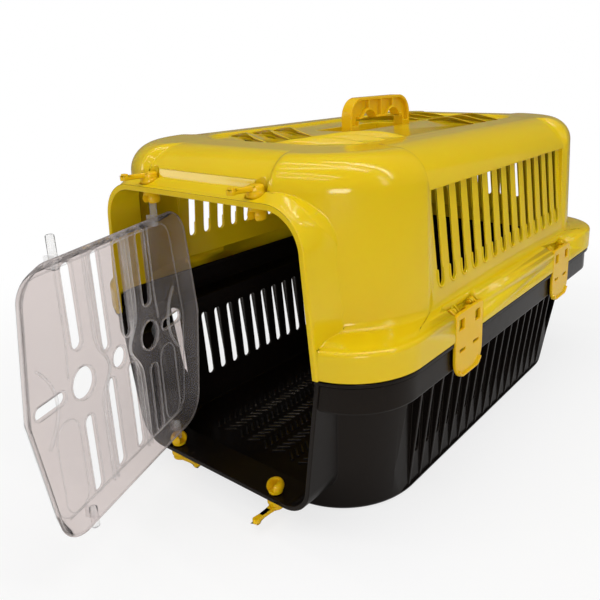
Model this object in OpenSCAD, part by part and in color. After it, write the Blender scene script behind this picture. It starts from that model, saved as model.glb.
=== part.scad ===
// Two-part moulded pet carrier with a swing door, four turn latches, four side clips and a folding handle.
// Origin: centre of the base on the surface it stands on. Doorway towards -Y, +Z up. Millimetres.

/* [Overall] */
// Length over the flange
flange_l = 500; // [470:1:540]
// Width over the flange
flange_w = 342; // [325:1:370]
// Corner radius of the flange in plan
flange_r = 61; // [50:1:75]
// Wall thickness of both mouldings
wall = 3; // [2.5:0.1:3.5]
// Gap between pieces that seat on each other
seat_gap = 0.3; // [0.25:0.05:0.5]
// Height of the seam between tub and top shell
seam_z = 146; // [136:1:156]
// Height of the flange on the top shell
flange_h = 24; // [22:1:28]
// Rise of the flange from its edge to the dome
flange_crown = 4; // [2:0.5:6]

/* [Tub] */
// Length of the base
base_l = 432; // [410:1:450]
// Width of the base
base_w = 268; // [255:1:285]
// Corner radius of the base
base_r = 74; // [60:1:85]
// Length of the tub under its band
body_l = 472; // [455:1:480]
// Width of the tub under its band
body_w = 304; // [295:1:315]
// Corner radius of the tub under its band
body_r = 80; // [70:1:95]
// Height of the smooth band below the seam
band_h = 27; // [20:1:34]
// How far the band stands back from the flange
band_inset = 4; // [3.5:0.1:5]
// Height of the bead that the flange sits on
bead_h = 4; // [3:0.5:6]
// Width of the side panels at the base
panel_base_w = 265; // [250:1:268]
// Width of the side panels under the band
panel_top_w = 279; // [270:1:290]
// Length of the recess that holds each side panel
panel_l = 342; // [320:1:350]
// Number of vents in each side of the tub
tub_vents = 16; // [10:1:17]
// Spacing of the tub vents
tub_vent_pitch = 18.3; // [17:0.1:19.5]
// Width of a tub vent
tub_vent_w = 8; // [6:0.5:9]
// Lower end of the tub vents
tub_vent_z0 = 35; // [25:1:45]
// Upper end of the tub vents
tub_vent_z1 = 107; // [90:1:108]
// Width of the upright ribs between the vents
rib_w = 5; // [3:0.5:7]
// Height of the raised bars on the floor
floor_bar_h = 1.2; // [0.8:0.1:2]

/* [Top shell] */
// Length of the dome where it leaves the flange
dome_l = 488; // [475:1:492]
// Width of the dome where it leaves the flange
dome_w = 312; // [300:1:320]
// Corner radius of the dome
dome_r = 100; // [85:1:110]
// Height of the roof above the base
roof_z = 301; // [290:1:320]
// How far the walls lean in from flange to shoulder, each side
dome_lean = 3; // [2:0.5:8]
// Height of the rounded shoulder
shoulder_h = 36; // [28:1:38]
// Reach of the rounded shoulder over the roof
shoulder_w = 42; // [35:1:50]
// Height of the squarer shoulder at the corners
corner_h = 26; // [22:1:34]
// Reach of the squarer shoulder at the corners
corner_w = 28; // [22:1:40]
// How far the middle of each wall stands back from the corners
wall_step = 2; // [1:0.5:3]
// Length of the stepped-back middle of the long walls
side_step_l = 298; // [280:1:310]
// Length of the stepped-back middle of the end walls
end_step_l = 144; // [120:1:160]
// Number of vents in each side of the top shell
side_vents = 14; // [8:1:14]
// Spacing of the side vents
side_vent_pitch = 20; // [18:0.5:20.5]
// Width of a side vent
side_vent_w = 8; // [5:0.5:10]
// Lower end of the side vents
side_vent_z0 = 190; // [184:1:200]
// Upper end of the side vents
side_vent_z1 = 269; // [250:1:271]
// Depth of the vent panels under their overhang
vent_panel_depth = 5; // [3:0.5:6]
// Number of vents in the rear wall
rear_vents = 7; // [3:1:7]
// Length of the sunken roof panel
roof_panel_l = 340; // [320:1:360]
// Width of the sunken roof panel
roof_panel_w = 176; // [160:1:190]
// Depth of the sunken roof panel
roof_panel_depth = 2; // [1:0.5:3]
// Rows of waved vents at each end of the roof
roof_rows = 3; // [1:1:3]
// Spacing of the waved vents
roof_pitch = 30; // [26:1:32]
// Width of a waved vent
roof_vent_w = 6.5; // [4:0.5:7]

/* [Doorway] */
// Width of the doorway at the seam
door_way_w = 234; // [220:1:240]
// Width of the doorway at the top of its straight sides
door_way_top_w = 220; // [200:1:226]
// Width of the doorway at the sill
sill_w = 204; // [190:1:212]
// Height of the sill
sill_z = 24; // [20:1:30]
// Thickness of the sill shelf
sill_t = 4; // [3:0.5:6]
// Radius of the lower corners of the doorway
sill_r = 24; // [12:1:34]
// Height of the top of the doorway
door_way_z = 266; // [256:1:272]
// Radius of the upper corners of the doorway
door_way_r = 30; // [20:1:40]
// Thickness of the door frame at its front edge
frame_t = 5; // [4:0.5:6]
// Growth of the arch outline where it meets the dome
arch_flare = 12; // [8:1:14]
// How far the arch stands in front of the flange
frame_out = 1; // [0.5:0.5:3]
// How far the sill stands back from the arch
sill_back = 3; // [2:0.5:6]

/* [Door] */
// Distance between the two pin lines
pin_span = 124; // [110:1:140]
// Distance of the pin lines behind the front of the flange
pin_back = 10; // [9:0.5:12]
// Angle that the door stands open
door_open = 68; // [0:1:100]
// Gap between door and doorway at the sides
door_side_gap = 4.5; // [3:0.5:8]
// Gap between door and the top of the doorway
door_top_gap = 21.5; // [18:0.5:26]
// Gap between door and sill
door_sill_gap = 14; // [12:0.5:20]
// Corner radius of the door
door_r = 28; // [20:1:34]
// Thickness of the clear panel
door_t = 2.4; // [1.8:0.1:3]
// Depth of the dished door
door_rim_d = 13; // [10:0.5:14]
// How far the dished wall leans outwards
door_lean = 9; // [4:0.5:12]
// How far the front face of the panel is in front of the pins
panel_out = 8; // [7:0.5:9]
// Diameter of the door pins
pin_d = 6; // [5:0.5:7]
// Width of a door slot
door_slot_w = 10; // [6:0.5:12]
// Place of the outer slots from the middle of the door
slot_out_x = 45; // [40:1:50]
// Place of the inner slots from the middle of the door
slot_in_x = 14; // [12:0.5:16]
// Radius of the two large holes
big_hole_r = 12; // [8:0.5:13]
// Radius of the middle hole
mid_hole_r = 8; // [5:0.5:9]
// Height of the row of holes
hole_z = 141.5; // [135:0.5:148]
// Height of the ribs on the door
door_rib_h = 3; // [2:0.5:4]

/* [Latches] */
// Diameter of a latch shaft
latch_shaft_d = 8; // [6:0.5:9]
// Running clearance of shafts and pins, on the radius
run_gap = 0.2; // [0.1:0.05:0.3]
// Diameter of a latch knob
knob_d = 15; // [12:0.5:16]
// Length of a latch lever from its axis
lever_l = 27; // [20:1:32]
// Width of a latch lever
lever_w = 6; // [5:0.5:8]
// Outer diameter of the ring that holds a door pin
ring_d = 15; // [13:0.5:17]
// Depth of the ring along the pin
ring_h = 7; // [6:0.5:10]

/* [Clips] */
// Distance of each clip from the middle of its side
clip_y = 108; // [100:1:115]
// Shift of the clips towards the doorway
clip_shift = 5; // [0:1:8]
// Width of a clip
clip_w = 48; // [42:1:52]
// Thickness of a clip
clip_t = 3; // [2.5:0.1:3.5]
// Diameter of the clip hinge pin
clip_pin_d = 4; // [3:0.5:5]
// Side clearance of a clip in its notch
clip_gap = 0.8; // [0.5:0.1:1.5]

/* [Handle] */
// Length of the handle
handle_l = 108; // [104:1:124]
// Place of the handle behind the middle of the roof
handle_y = 4; // [0:1:10]
// Height of the handle above its hinge
handle_h = 37; // [34:1:44]
// Thickness of the handle
handle_t = 12; // [10:0.5:14]
// Width of each handle leg
leg_w = 14; // [11:0.5:17]
// Diameter of the handle hinge pins
hinge_d = 6; // [5:0.5:7]
// Clearance round the handle in its pocket
pocket_gap = 1; // [0.6:0.1:2]

/* [Hidden] */
$fn = 64;
hull_fn = 48;
eps = 0.02;
cut = 60;

tub_colour = "#1c1a19";
shell_colour = "#dcb61e";
clip_colour = "#e0b21c";
door_colour = "#c9c3c4";

// rim of the tub
band_l = flange_l - 2 * band_inset;
band_w = flange_w - 2 * band_inset;
band_r = flange_r - band_inset;
band_z = seam_z - band_h;
flange_z = seam_z + flange_h;
rim_z = seam_z + 3;
bead_out = band_inset - 1;

// side panels of the tub
panel_foot_z = 5;
vent_run = (tub_vents - 1) * tub_vent_pitch;

// dome
dome_z = flange_z - wall;
cavity_inset = wall_step + wall;
wall_x = dome_w / 2 - wall_step;
vent_head_x = wall_x - dome_lean - vent_panel_depth;
vent_foot_z = side_vent_z0 - 4;
side_run = (side_vents - 1) * side_vent_pitch;
roof_face_z = roof_z - roof_panel_depth;

// doorway
front_y = -flange_l / 2 - frame_out;
back_y = -flange_l / 2 + 28;
sill_front_y = front_y + sill_back;
cavity_y = -base_l / 2 + wall + 8;

// door
pin_y = -flange_l / 2 + pin_back;
pin_x = pin_span / 2;
door_z0 = sill_z + door_sill_gap;
door_z1 = door_way_z - door_top_gap;
door_mid_w = door_way_w - 2 * door_side_gap;
door_top_w = door_way_top_w - 2 * door_side_gap - 6;
door_foot_w = sill_w - 2 * door_side_gap + 6;

// latches
knob_gap = 0.8;
lip_z = door_way_z + frame_t;
top_pin_z = door_way_z - 7;
low_pin_z = sill_z + 6.5;
cap_t = 3.4;
spigot_d = 5;

// clips
clip_face_x = flange_w / 2 + 0.3;
clip_back_x = clip_face_x - clip_t;
clip_pin_x = flange_w / 2 - 8;
clip_pin_z = flange_z - 2;
clip_foot_z = band_z - 6.5;
notch_w = clip_w + 2 * clip_gap;
notch_x0 = flange_w / 2 - 13;
notch_z = clip_pin_z - 7;
ear_r = 3.4;
ear_w = 3;
ear_y = clip_w / 2 - 9;

// handle
hinge_z = roof_face_z - handle_t / 2 + 1;
pocket_z = hinge_z - handle_t / 2 - pocket_gap;
pocket_half_l = handle_l / 2 + pocket_gap;
pocket_x0 = -handle_h - 2 * pocket_gap;
pocket_x1 = handle_t / 2 + pocket_gap;

// rounded rectangle, length along Y
module plate2d(l, w, r) {
    square([w - 2 * r, l], center = true);
    square([w, l - 2 * r], center = true);
    for (sx = [-1, 1], sy = [-1, 1])
        translate([sx * (w / 2 - r), sy * (l / 2 - r)]) circle(r);
}

module plate(l, w, r, z, h) {
    translate([0, 0, z]) linear_extrude(h) plate2d(l, w, r);
}

module slot2d(w, h) {
    square([w, h - w], center = true);
    for (s = [-1, 1]) translate([0, s * (h - w) / 2]) circle(w / 2);
}

// a profile drawn in X and Z, pushed from y0 to y1
module along_y(y0, y1) {
    translate([0, y1, 0]) rotate([90, 0, 0]) linear_extrude(y1 - y0) children();
}

// a profile drawn in Y and Z, pushed from x0 to x1
module along_x(x0, x1) {
    translate([x0, 0, 0]) rotate([90, 0, 90]) linear_extrude(x1 - x0) children();
}

// ---- doorway profiles, X and Z ----

module arch2d(grow) {
    half = door_way_w / 2 + grow;
    half_top = door_way_top_w / 2 + grow;
    r = door_way_r + grow;
    top = door_way_z + grow;
    polygon([[-half, seam_z], [half, seam_z], [half_top, top - r], [-half_top, top - r]]);
    translate([-half_top + r, top - r - eps]) square([2 * (half_top - r), r + eps]);
    for (s = [-1, 1]) translate([s * (half_top - r), top - r]) circle(r);
}

module tub_way2d(grow, head_z) {
    half_head = door_way_w / 2 + grow;
    hull() {
        for (s = [-1, 1]) translate([s * (sill_w / 2 - sill_r), sill_z + sill_r]) circle(sill_r + grow);
        translate([-half_head, seam_z]) square([2 * half_head, head_z - seam_z]);
    }
}

// ---- tub ----

module tub_hull(inset, z0, z1) {
    hull() {
        plate(base_l - 2 * inset, base_w - 2 * inset, base_r - inset, z0, 1, $fn = hull_fn);
        plate(body_l - 2 * inset, body_w - 2 * inset, body_r - inset, z1 - 1, 1, $fn = hull_fn);
    }
}

// wedge outside a side panel, from the panel plane outwards
module panel_wedge(inset, half_l, foot_z, head_z) {
    lean = (panel_top_w - panel_base_w) / 2 / band_z;
    face = panel_base_w / 2 - inset;
    for (s = [0, 1]) mirror([s, 0, 0])
        along_y(-half_l, half_l)
            polygon([[face + lean * foot_z, foot_z], [flange_w, foot_z],
                     [flange_w, head_z], [face + lean * head_z, head_z]]);
}

module panel_ribs() {
    rib_top = body_w / 2 - 3;
    for (s = [0, 1]) mirror([s, 0, 0])
        for (i = [0 : tub_vents])
            translate([0, (i - 0.5) * tub_vent_pitch - vent_run / 2, 0])
                along_y(-rib_w / 2, rib_w / 2)
                    polygon([[panel_base_w / 2 - 1, panel_foot_z - 1], [panel_base_w / 2 + 1, panel_foot_z - 1],
                             [rib_top, band_z + 1], [panel_top_w / 2 - 1, band_z + 1]]);
}

module floor_bars() {
    bar_l = 26;
    row_pitch = 34;
    rows = floor((base_w - 90) / row_pitch);
    for (row = [0 : rows - 1], i = [0 : 11])
        translate([(row - (rows - 1) / 2) * row_pitch, (i - 5.5) * 30, wall - 1])
            rotate([0, 0, row % 2 == 0 ? 45 : -45])
                translate([-bar_l / 2, -2, 0]) cube([bar_l, 4, floor_bar_h + 1]);
}

module tub() color(tub_colour) {
    difference() {
        union() {
            difference() {
                tub_hull(0, 0, band_z);
                panel_wedge(0, panel_l / 2, panel_foot_z, band_z);
            }
            intersection() {
                panel_ribs();
                plate(body_l, body_w, body_r, 0, band_z + 1);
            }
            plate(band_l, band_w, band_r, band_z, rim_z - band_z);
            plate(band_l + 2 * bead_out, band_w + 2 * bead_out, band_r + bead_out,
                  seam_z - bead_h, bead_h - seat_gap);
            // door frame and sill shelf
            along_y(sill_front_y, cavity_y) intersection() {
                tub_way2d(sill_t, seam_z + 1);
                translate([-flange_w, 0]) square([2 * flange_w, seam_z - 2 * seat_gap]);
            }
        }
        // inside of the body, of the band, and the doorway
        difference() {
            tub_hull(wall, wall, band_z + wall);
            panel_wedge(wall, panel_l / 2 - wall, 0, band_z + 2 * wall);
        }
        plate(band_l - 2 * wall, band_w - 2 * wall, band_r - wall, band_z + wall, cut + 40);
        along_y(front_y - 1, cavity_y + 1) tub_way2d(0, seam_z + cut);
        // side vents
        for (i = [0 : tub_vents - 1])
            translate([0, i * tub_vent_pitch - vent_run / 2, (tub_vent_z0 + tub_vent_z1) / 2])
                along_x(-flange_w / 2, flange_w / 2) slot2d(tub_vent_w, tub_vent_z1 - tub_vent_z0);
        // the bead stops at each clip
        for (s = [-1, 1], sy = [-1, 1])
            translate([s * (flange_w / 2 + 0.5), sy * clip_y - clip_shift, seam_z - bead_h / 2])
                cube([2 * (band_inset + 0.5), notch_w, bead_h + 1], center = true);
        // bores for the two lower latches
        for (s = [-1, 1])
            translate([s * pin_x, pin_y, sill_z - sill_t - 1])
                cylinder(d = latch_shaft_d + 2 * run_gap, h = sill_t + 2);
    }
    floor_bars();
}

// ---- top shell ----

// stacked outlines of the dome, drawn in by inset, with the roof lowered by drop
module dome_hull(inset, drop, z0, round_h = shoulder_h, round_w = shoulder_w) {
    l = dome_l - 2 * inset;
    w = dome_w - 2 * inset;
    hull() {
        plate(l, w, dome_r - inset, z0, eps, $fn = hull_fn);
        for (a = [0 : 15 : 90]) {
            reach = 2 * (dome_lean + round_w * (1 - cos(a)));
            plate(l - reach, w - reach, dome_r - inset - reach / 2, roof_z - drop - round_h * (1 - sin(a)) - eps,
                  eps, $fn = hull_fn);
        }
    }
}

module corner_blocks() {
    for (sx = [-1, 1], sy = [-1, 1])
        translate([sx * (end_step_l / 2 + dome_w / 2), sy * (side_step_l / 2 + dome_l / 2), roof_z / 2])
            cube([dome_w, dome_l, roof_z + 1], center = true);
}

// wedge outside a vent panel: flush at its foot, deepest under the overhang
module vent_wedge(inset, half_l, head_z) {
    for (s = [0, 1]) mirror([s, 0, 0])
        along_y(-half_l, half_l)
            polygon([[wall_x - inset, vent_foot_z], [flange_w, vent_foot_z],
                     [flange_w, head_z], [vent_head_x - inset, head_z]]);
}

// one side vent: round at the foot, square under the overhang
module side_vent2d() {
    h = side_vent_z1 - side_vent_z0 - side_vent_w / 2;
    translate([-side_vent_w / 2, 0]) square([side_vent_w, h]);
    circle(side_vent_w / 2);
}

// one waved vent: an S that narrows to a point at both ends
module wave2d(l, w, bend) {
    steps = 14;
    function mid(i) = [l * (i / steps - 0.5), bend * sin(360 * i / steps)];
    function half(i) = [0, w / 2 * pow(sin(180 * i / steps), 0.5)];
    polygon(concat([for (i = [0 : steps]) mid(i) - half(i)],
                   [for (i = [steps - 1 : -1 : 1]) mid(i) + half(i)]));
}

module roof_vents() {
    wave_l = roof_panel_w / 2 - 8;
    first_y = pocket_half_l + wall + 26;
    for (sx = [0, 1]) mirror([sx, 0, 0])
        for (sy = [0, 1]) mirror([0, sy, 0])
            for (i = [0 : roof_rows - 1])
                translate([roof_panel_w / 4 - 4, first_y + i * roof_pitch, roof_face_z - cut / 4])
                    linear_extrude(cut / 2) rotate([0, 0, -28]) wave2d(wave_l, roof_vent_w, 4);
}

module handle_pocket(grow) {
    translate([pocket_x0 - grow, handle_y - pocket_half_l - grow, pocket_z - grow])
        cube([pocket_x1 - pocket_x0 + 2 * grow, 2 * (pocket_half_l + grow), roof_face_z - pocket_z + 2 * grow]);
}

// ears on the flange that hold the hinge pins of the clips
module clip_ears() {
    floor_z = notch_z - wall / 2;
    for (sx = [0, 1]) mirror([sx, 0, 0])
        for (sy = [-1, 1], side = [-1, 1])
            translate([clip_pin_x, sy * clip_y - clip_shift + side * ear_y - ear_w / 2, 0])
                difference() {
                    along_y(0, ear_w) {
                        translate([-ear_r, floor_z]) square([2 * ear_r, clip_pin_z - floor_z]);
                        translate([0, clip_pin_z]) circle(ear_r);
                    }
                    translate([0, -1, clip_pin_z]) rotate([-90, 0, 0])
                        cylinder(d = clip_pin_d + 2 * run_gap, h = ear_w + 2);
                }
}

// the flange is lowered under each hinge, and the skirt cut away behind each clip
module clip_notches() {
    for (sx = [0, 1]) mirror([sx, 0, 0])
        for (sy = [-1, 1]) translate([0, sy * clip_y - clip_shift, 0]) {
            translate([notch_x0, -notch_w / 2, notch_z]) cube([cut, notch_w, cut]);
            translate([flange_w / 2 - wall - 0.5, -notch_w / 2 + 0.2, seam_z - 1])
                cube([cut, notch_w - 0.4, notch_z - seam_z + 2]);
        }
}

module top_solid() {
    plate(flange_l, flange_w, flange_r, seam_z, flange_h);
    // crown of the flange
    hull() {
        plate(flange_l - 4, flange_w - 4, flange_r - 2, flange_z, eps, $fn = hull_fn);
        plate(dome_l, dome_w, dome_r, flange_z + flange_crown, eps, $fn = hull_fn);
    }
    // dome, with corners that stand out and are squarer
    dome_hull(wall_step, 0, dome_z);
    intersection() {
        dome_hull(0, 0, dome_z, corner_h, corner_w);
        corner_blocks();
    }
    // arch of the doorway, wider where it leaves the dome
    hull() {
        along_y(front_y, front_y + 1) arch2d(frame_t, $fn = hull_fn);
        along_y(back_y, back_y + 1) arch2d(arch_flare, $fn = hull_fn);
    }
}

module top_cavity() {
    plate(flange_l - 2 * wall, flange_w - 2 * wall, flange_r - wall, seam_z - 1, flange_h - wall + 1);
    difference() {
        dome_hull(cavity_inset, cavity_inset, seam_z);
        vent_wedge(wall, side_step_l / 2 - 2, side_vent_z1 + wall);
    }
}

// walls round each notch, and the skirt set back behind each clip
module clip_pockets() {
    back = flange_w / 2 - wall + 0.5;
    half = notch_w / 2 + wall;
    for (sx = [0, 1]) mirror([sx, 0, 0])
        for (sy = [-1, 1]) translate([0, sy * clip_y - clip_shift, 0])
            along_y(-half, half)
                polygon([[notch_x0 - wall, flange_z - 1], [notch_x0 - wall, notch_z - wall],
                         [back - wall, notch_z - wall], [back - wall, rim_z + 0.5], [back, rim_z + 0.5],
                         [back, flange_z - 1]]);
}

module latch_bosses() {
    intersection() {
        dome_hull(wall_step, 0, dome_z);
        for (s = [-1, 1])
            translate([s * pin_x, pin_y, door_way_z]) cylinder(r = knob_d / 2 + knob_gap + wall, h = 24);
    }
}

module top_shell() color(shell_colour) {
    difference() {
        union() {
            difference() {
                top_solid();
                top_cavity();
            }
            clip_pockets();
            intersection() {
                handle_pocket(wall);
                plate(dome_l, dome_w, dome_r, -1, roof_face_z + 1);
            }
            latch_bosses();
        }
        // sunken faces
        vent_wedge(0, side_step_l / 2 - 6, side_vent_z1);
        plate(roof_panel_l, roof_panel_w, 40, roof_face_z, cut);
        handle_pocket(0);
        // doorway
        along_y(front_y - 1, back_y + 4) {
            arch2d(0);
            translate([-door_way_w / 2, seam_z - 1]) square([door_way_w, 2]);
        }
        // vents in the sides, the rear wall and the roof
        for (i = [0 : side_vents - 1])
            translate([0, i * side_vent_pitch - side_run / 2, side_vent_z0 + side_vent_w / 2])
                along_x(-flange_w / 2, flange_w / 2) side_vent2d();
        for (i = [0 : rear_vents - 1])
            translate([(i - (rear_vents - 1) / 2) * side_vent_pitch, 0, (side_vent_z0 + side_vent_z1) / 2 - 8])
                along_y(flange_l / 2 - 40, flange_l / 2) slot2d(side_vent_w, side_vent_z1 - side_vent_z0 - 16);
        roof_vents();
        // seats and bores of the two upper latches
        for (s = [-1, 1]) translate([s * pin_x, pin_y, 0]) {
            translate([0, 0, lip_z]) cylinder(d = knob_d + 2 * knob_gap, h = cut);
            translate([0, 0, door_way_z - 1]) cylinder(d = latch_shaft_d + 2 * run_gap, h = frame_t + 2);
        }
        // bores of the handle hinge
        for (s = [-1, 1])
            translate([0, handle_y + s * (pocket_half_l + wall / 2), hinge_z]) rotate([90, 0, 0])
                cylinder(d = hinge_d + 2 * run_gap, h = wall + 2, center = true);
        clip_notches();
    }
    clip_ears();
}

// ---- door ----

// outline of the door, drawn flat: X across, Y up
module door_outline(inset) {
    r = door_r - inset;
    hull() {
        for (s = [-1, 1]) {
            translate([s * (door_top_w / 2 - door_r), door_z1 - door_r]) circle(r, $fn = hull_fn);
            translate([s * (door_foot_w / 2 - door_r), door_z0 + door_r]) circle(r, $fn = hull_fn);
            translate([s * (door_mid_w / 2 - 6), hole_z - 6]) circle(6 - inset, $fn = hull_fn / 2);
            translate([s * (door_mid_w / 2 - 6), hole_z + 6]) circle(6 - inset, $fn = hull_fn / 2);
        }
    }
}

// a rib that swerves inwards between the holes
function rib_x(z, x) = x - (x - mid_hole_r - 6) * exp(-pow((z - hole_z) / 15, 2));

module door_rib(x) {
    half = 0.7;
    zs = [for (z = [door_z0 + 5 : 8 : door_z1 - 5]) z];
    polygon(concat([for (z = zs) [rib_x(z, x) - half, z]],
                   [for (i = [len(zs) - 1 : -1 : 0]) [rib_x(zs[i], x) + half, zs[i]]]));
}

module door_cuts() {
    slot_top = door_z1 - 9;
    slot_low = door_z0 + 13;
    for (s = [-1, 1]) {
        translate([s * slot_out_x, (slot_top + hole_z + 28) / 2]) slot2d(door_slot_w, slot_top - hole_z - 28);
        translate([s * slot_in_x, (slot_top + hole_z + 14) / 2]) slot2d(door_slot_w, slot_top - hole_z - 14);
        translate([s * slot_out_x, (slot_low + hole_z - 27) / 2]) slot2d(door_slot_w, hole_z - 27 - slot_low);
        translate([s * slot_in_x, (slot_low + hole_z - 13) / 2]) slot2d(door_slot_w, hole_z - 13 - slot_low);
        translate([s * slot_out_x, hole_z]) circle(big_hole_r);
        translate([s * (door_mid_w / 2 - 28), hole_z]) rotate(90) slot2d(door_slot_w - 2, 36);
    }
    translate([0, hole_z]) circle(mid_hole_r);
}

// solid dish, narrow at its front face, drawn in by inset
module door_dish(inset, y0, y1) {
    lean = door_lean / door_rim_d;
    hull() {
        along_y(y0, y0 + 0.5) door_outline(inset + door_lean - lean * y0);
        along_y(y1 - 0.5, y1) door_outline(inset + door_lean - lean * y1);
    }
}

// the door closed: panel and rim stand upright, pins at top and bottom
module closed_door() {
    rim_t = 2.4;
    translate([0, -panel_out, 0]) {
        difference() {
            door_dish(0, 0, door_rim_d);
            door_dish(rim_t, door_t, door_rim_d + 0.5);
            along_y(-1, door_t + 1) door_cuts();
        }
        along_y(door_t - 0.5, door_t + door_rib_h)
            for (s = [-1, 1], x = [slot_in_x + 9, slot_in_x + 14])
                scale([s, 1]) door_rib(x);
    }
    for (s = [-1, 1]) {
        pin(s, door_z1, top_pin_z);
        pin(s, low_pin_z, door_z0);
    }
}

// one door pin with the web that carries it at the rim
module pin(s, z0, z1) {
    up = z1 > (door_z0 + door_z1) / 2;
    translate([s * pin_x, 0, up ? z0 - 12 : z0]) cylinder(d = pin_d, h = z1 - z0 + 12);
    translate([s * pin_x - 1.5, -panel_out + 1, up ? door_z1 - 12 : door_z0]) cube([3, panel_out - 1, 12]);
}

module door() color(door_colour)
    translate([-pin_x, pin_y, 0]) rotate([0, 0, -door_open]) translate([pin_x, 0, 0]) closed_door();

// ---- latches ----

// knob of a lower latch: lever under the shelf, shaft up through it, spigot into the hook
module latch_knob(shelf_t) {
    translate([0, 0, -shelf_t - 1]) cylinder(d = latch_shaft_d, h = shelf_t + 1 + seat_gap);
    cylinder(d = spigot_d, h = cap_t - 0.4);
    translate([0, 0, -shelf_t - seat_gap - 6]) cylinder(d = knob_d, h = 6);
    translate([0, 0, -shelf_t - seat_gap - 10]) lever();
}

module lever() {
    reach = lever_l - lever_w / 2;
    cylinder(d = knob_d - 2, h = 4.5);
    linear_extrude(4.5) {
        polygon([[-lever_w / 2, 0], [lever_w / 2, 0], [lever_w / 2 - 1, -reach], [-lever_w / 2 + 1, -reach]]);
        translate([0, -reach]) circle(lever_w / 2 - 0.5);
    }
    // thumb rib
    translate([-lever_w / 2 + 1, -reach, -1.5]) cube([lever_w - 2, 4, 2]);
}

// hook of a lower latch: cap on the spigot, and an open ring for a door pin
module latch_hook() {
    gap = pin_d + 4 * run_gap;
    difference() {
        translate([0, 0, seat_gap]) cylinder(d = ring_d, h = cap_t + ring_h);
        translate([0, 0, -1]) cylinder(d = spigot_d, h = cap_t - 0.4 + 1);
        translate([0, 0, seat_gap + cap_t]) {
            cylinder(d = gap, h = ring_h + 1);
            translate([-gap / 2, -ring_d, 0]) cube([gap, ring_d, ring_h + 1]);
        }
    }
}

module lower_latch(side, turn)
    color(clip_colour) translate([side * pin_x, pin_y, sill_z]) rotate([0, 0, turn]) children();

module upper_latch(side, turn)
    color(clip_colour) translate([side * pin_x, pin_y, door_way_z]) rotate([0, 0, turn])
        mirror([0, 0, 1]) children();

// ---- clips ----

// face of a clip: straight sides, then large chamfers to the foot
module clip_face2d(top_z) {
    half = clip_w / 2;
    right = [[half - 11, clip_foot_z], [half - 6, clip_foot_z + 3], [half - 1.5, clip_foot_z + 9],
             [half, clip_foot_z + 16], [half, top_z]];
    polygon(concat(right, [for (i = [len(right) - 1 : -1 : 0]) [-right[i].x, right[i].y]]));
}

// an arm from the pin to the face
module clip_arm(y, w) {
    r = clip_pin_d / 2 + 1.4;
    translate([clip_pin_x, y, clip_pin_z]) rotate([90, 0, 0]) cylinder(r = r, h = w, center = true);
    translate([clip_pin_x, y - w / 2, clip_pin_z - 0.4])
        cube([clip_back_x - clip_pin_x + 1, w, r + 0.4]);
}

// the clip of the right side, centred on y = 0
module clip() {
    arm_y = ear_y + ear_w / 2 + 2;
    difference() {
        union() {
            along_x(clip_back_x, clip_face_x) clip_face2d(clip_pin_z);
            // rounded bar on top, and three arms that hold the pin
            translate([clip_back_x, 0, clip_pin_z + 0.4]) rotate([90, 0, 0])
                cylinder(r = clip_t, h = clip_w, center = true);
            clip_arm(-arm_y, 3);
            clip_arm(5, 8);
            clip_arm(arm_y, 3);
            // hook that catches under the band
            translate([flange_w / 2 - band_inset - 3, -clip_w / 2 + 14, clip_foot_z])
                cube([clip_face_x - flange_w / 2 + band_inset + 2, clip_w - 28, band_z - seat_gap - clip_foot_z]);
            // finger lip that curls outwards
            translate([clip_face_x, clip_w / 2 - 12, clip_foot_z + 2]) rotate([90, 0, 0])
                cylinder(r = 2, h = clip_w - 24);
        }
        // two windows and two slits
        for (s = [-1, 1]) {
            translate([clip_face_x, s * 14, clip_pin_z - 9]) cube([3 * clip_t, 9, 9], center = true);
            translate([clip_face_x, s * 12, clip_pin_z - 32]) cube([3 * clip_t, 10, 2.5], center = true);
        }
        // room for the ears
        for (s = [-1, 1])
            translate([clip_pin_x - ear_r - 1, s * ear_y - ear_w / 2 - 0.5, clip_pin_z - 10])
                cube([2 * ear_r + 1.6, ear_w + 1, 20]);
    }
    translate([clip_pin_x, 0, clip_pin_z]) rotate([90, 0, 0])
        cylinder(d = clip_pin_d, h = 2 * arm_y + 3, center = true);
}

module placed_clip(side, end)
    color(clip_colour) mirror([side > 0 ? 0 : 1, 0, 0]) translate([0, end * clip_y - clip_shift, 0]) clip();

// ---- handle ----

module handle_outline() {
    r = 20;
    top = handle_h;
    half = handle_l / 2;
    difference() {
        union() {
            translate([-half, 0]) square([handle_l, top - r]);
            translate([-half + r, 0]) square([handle_l - 2 * r, top]);
            for (s = [-1, 1]) translate([s * (half - r), top - r]) circle(r);
        }
        // grip opening with two finger arches
        translate([-half + leg_w, -1]) square([handle_l - 2 * leg_w, top - 20]);
        for (s = [-1, 1]) translate([s * handle_l / 5, top - 26]) circle(13);
    }
}

module handle() color(clip_colour) translate([0, handle_y, hinge_z]) {
    channel_d = handle_t / 2 - 1.5;
    difference() {
        union() {
            along_x(-handle_t / 2, handle_t / 2) handle_outline();
            // rounded feet
            for (s = [-1, 1])
                translate([0, s * (handle_l - leg_w) / 2, 0]) rotate([90, 0, 0])
                    cylinder(d = handle_t, h = leg_w, center = true);
        }
        // channels between the ribs on both faces
        for (s = [-1, 1], i = [-1.5, -0.5, 0.5, 1.5])
            translate([s * (1.5 + (channel_d + 1) / 2), i * 21.5, handle_h - 7])
                cube([channel_d + 1, 18.5, 8], center = true);
    }
    for (s = [-1, 1])
        translate([0, s * (handle_l / 2 + wall / 2), 0]) rotate([90, 0, 0])
            cylinder(d = hinge_d, h = wall + 2, center = true);
}

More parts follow.
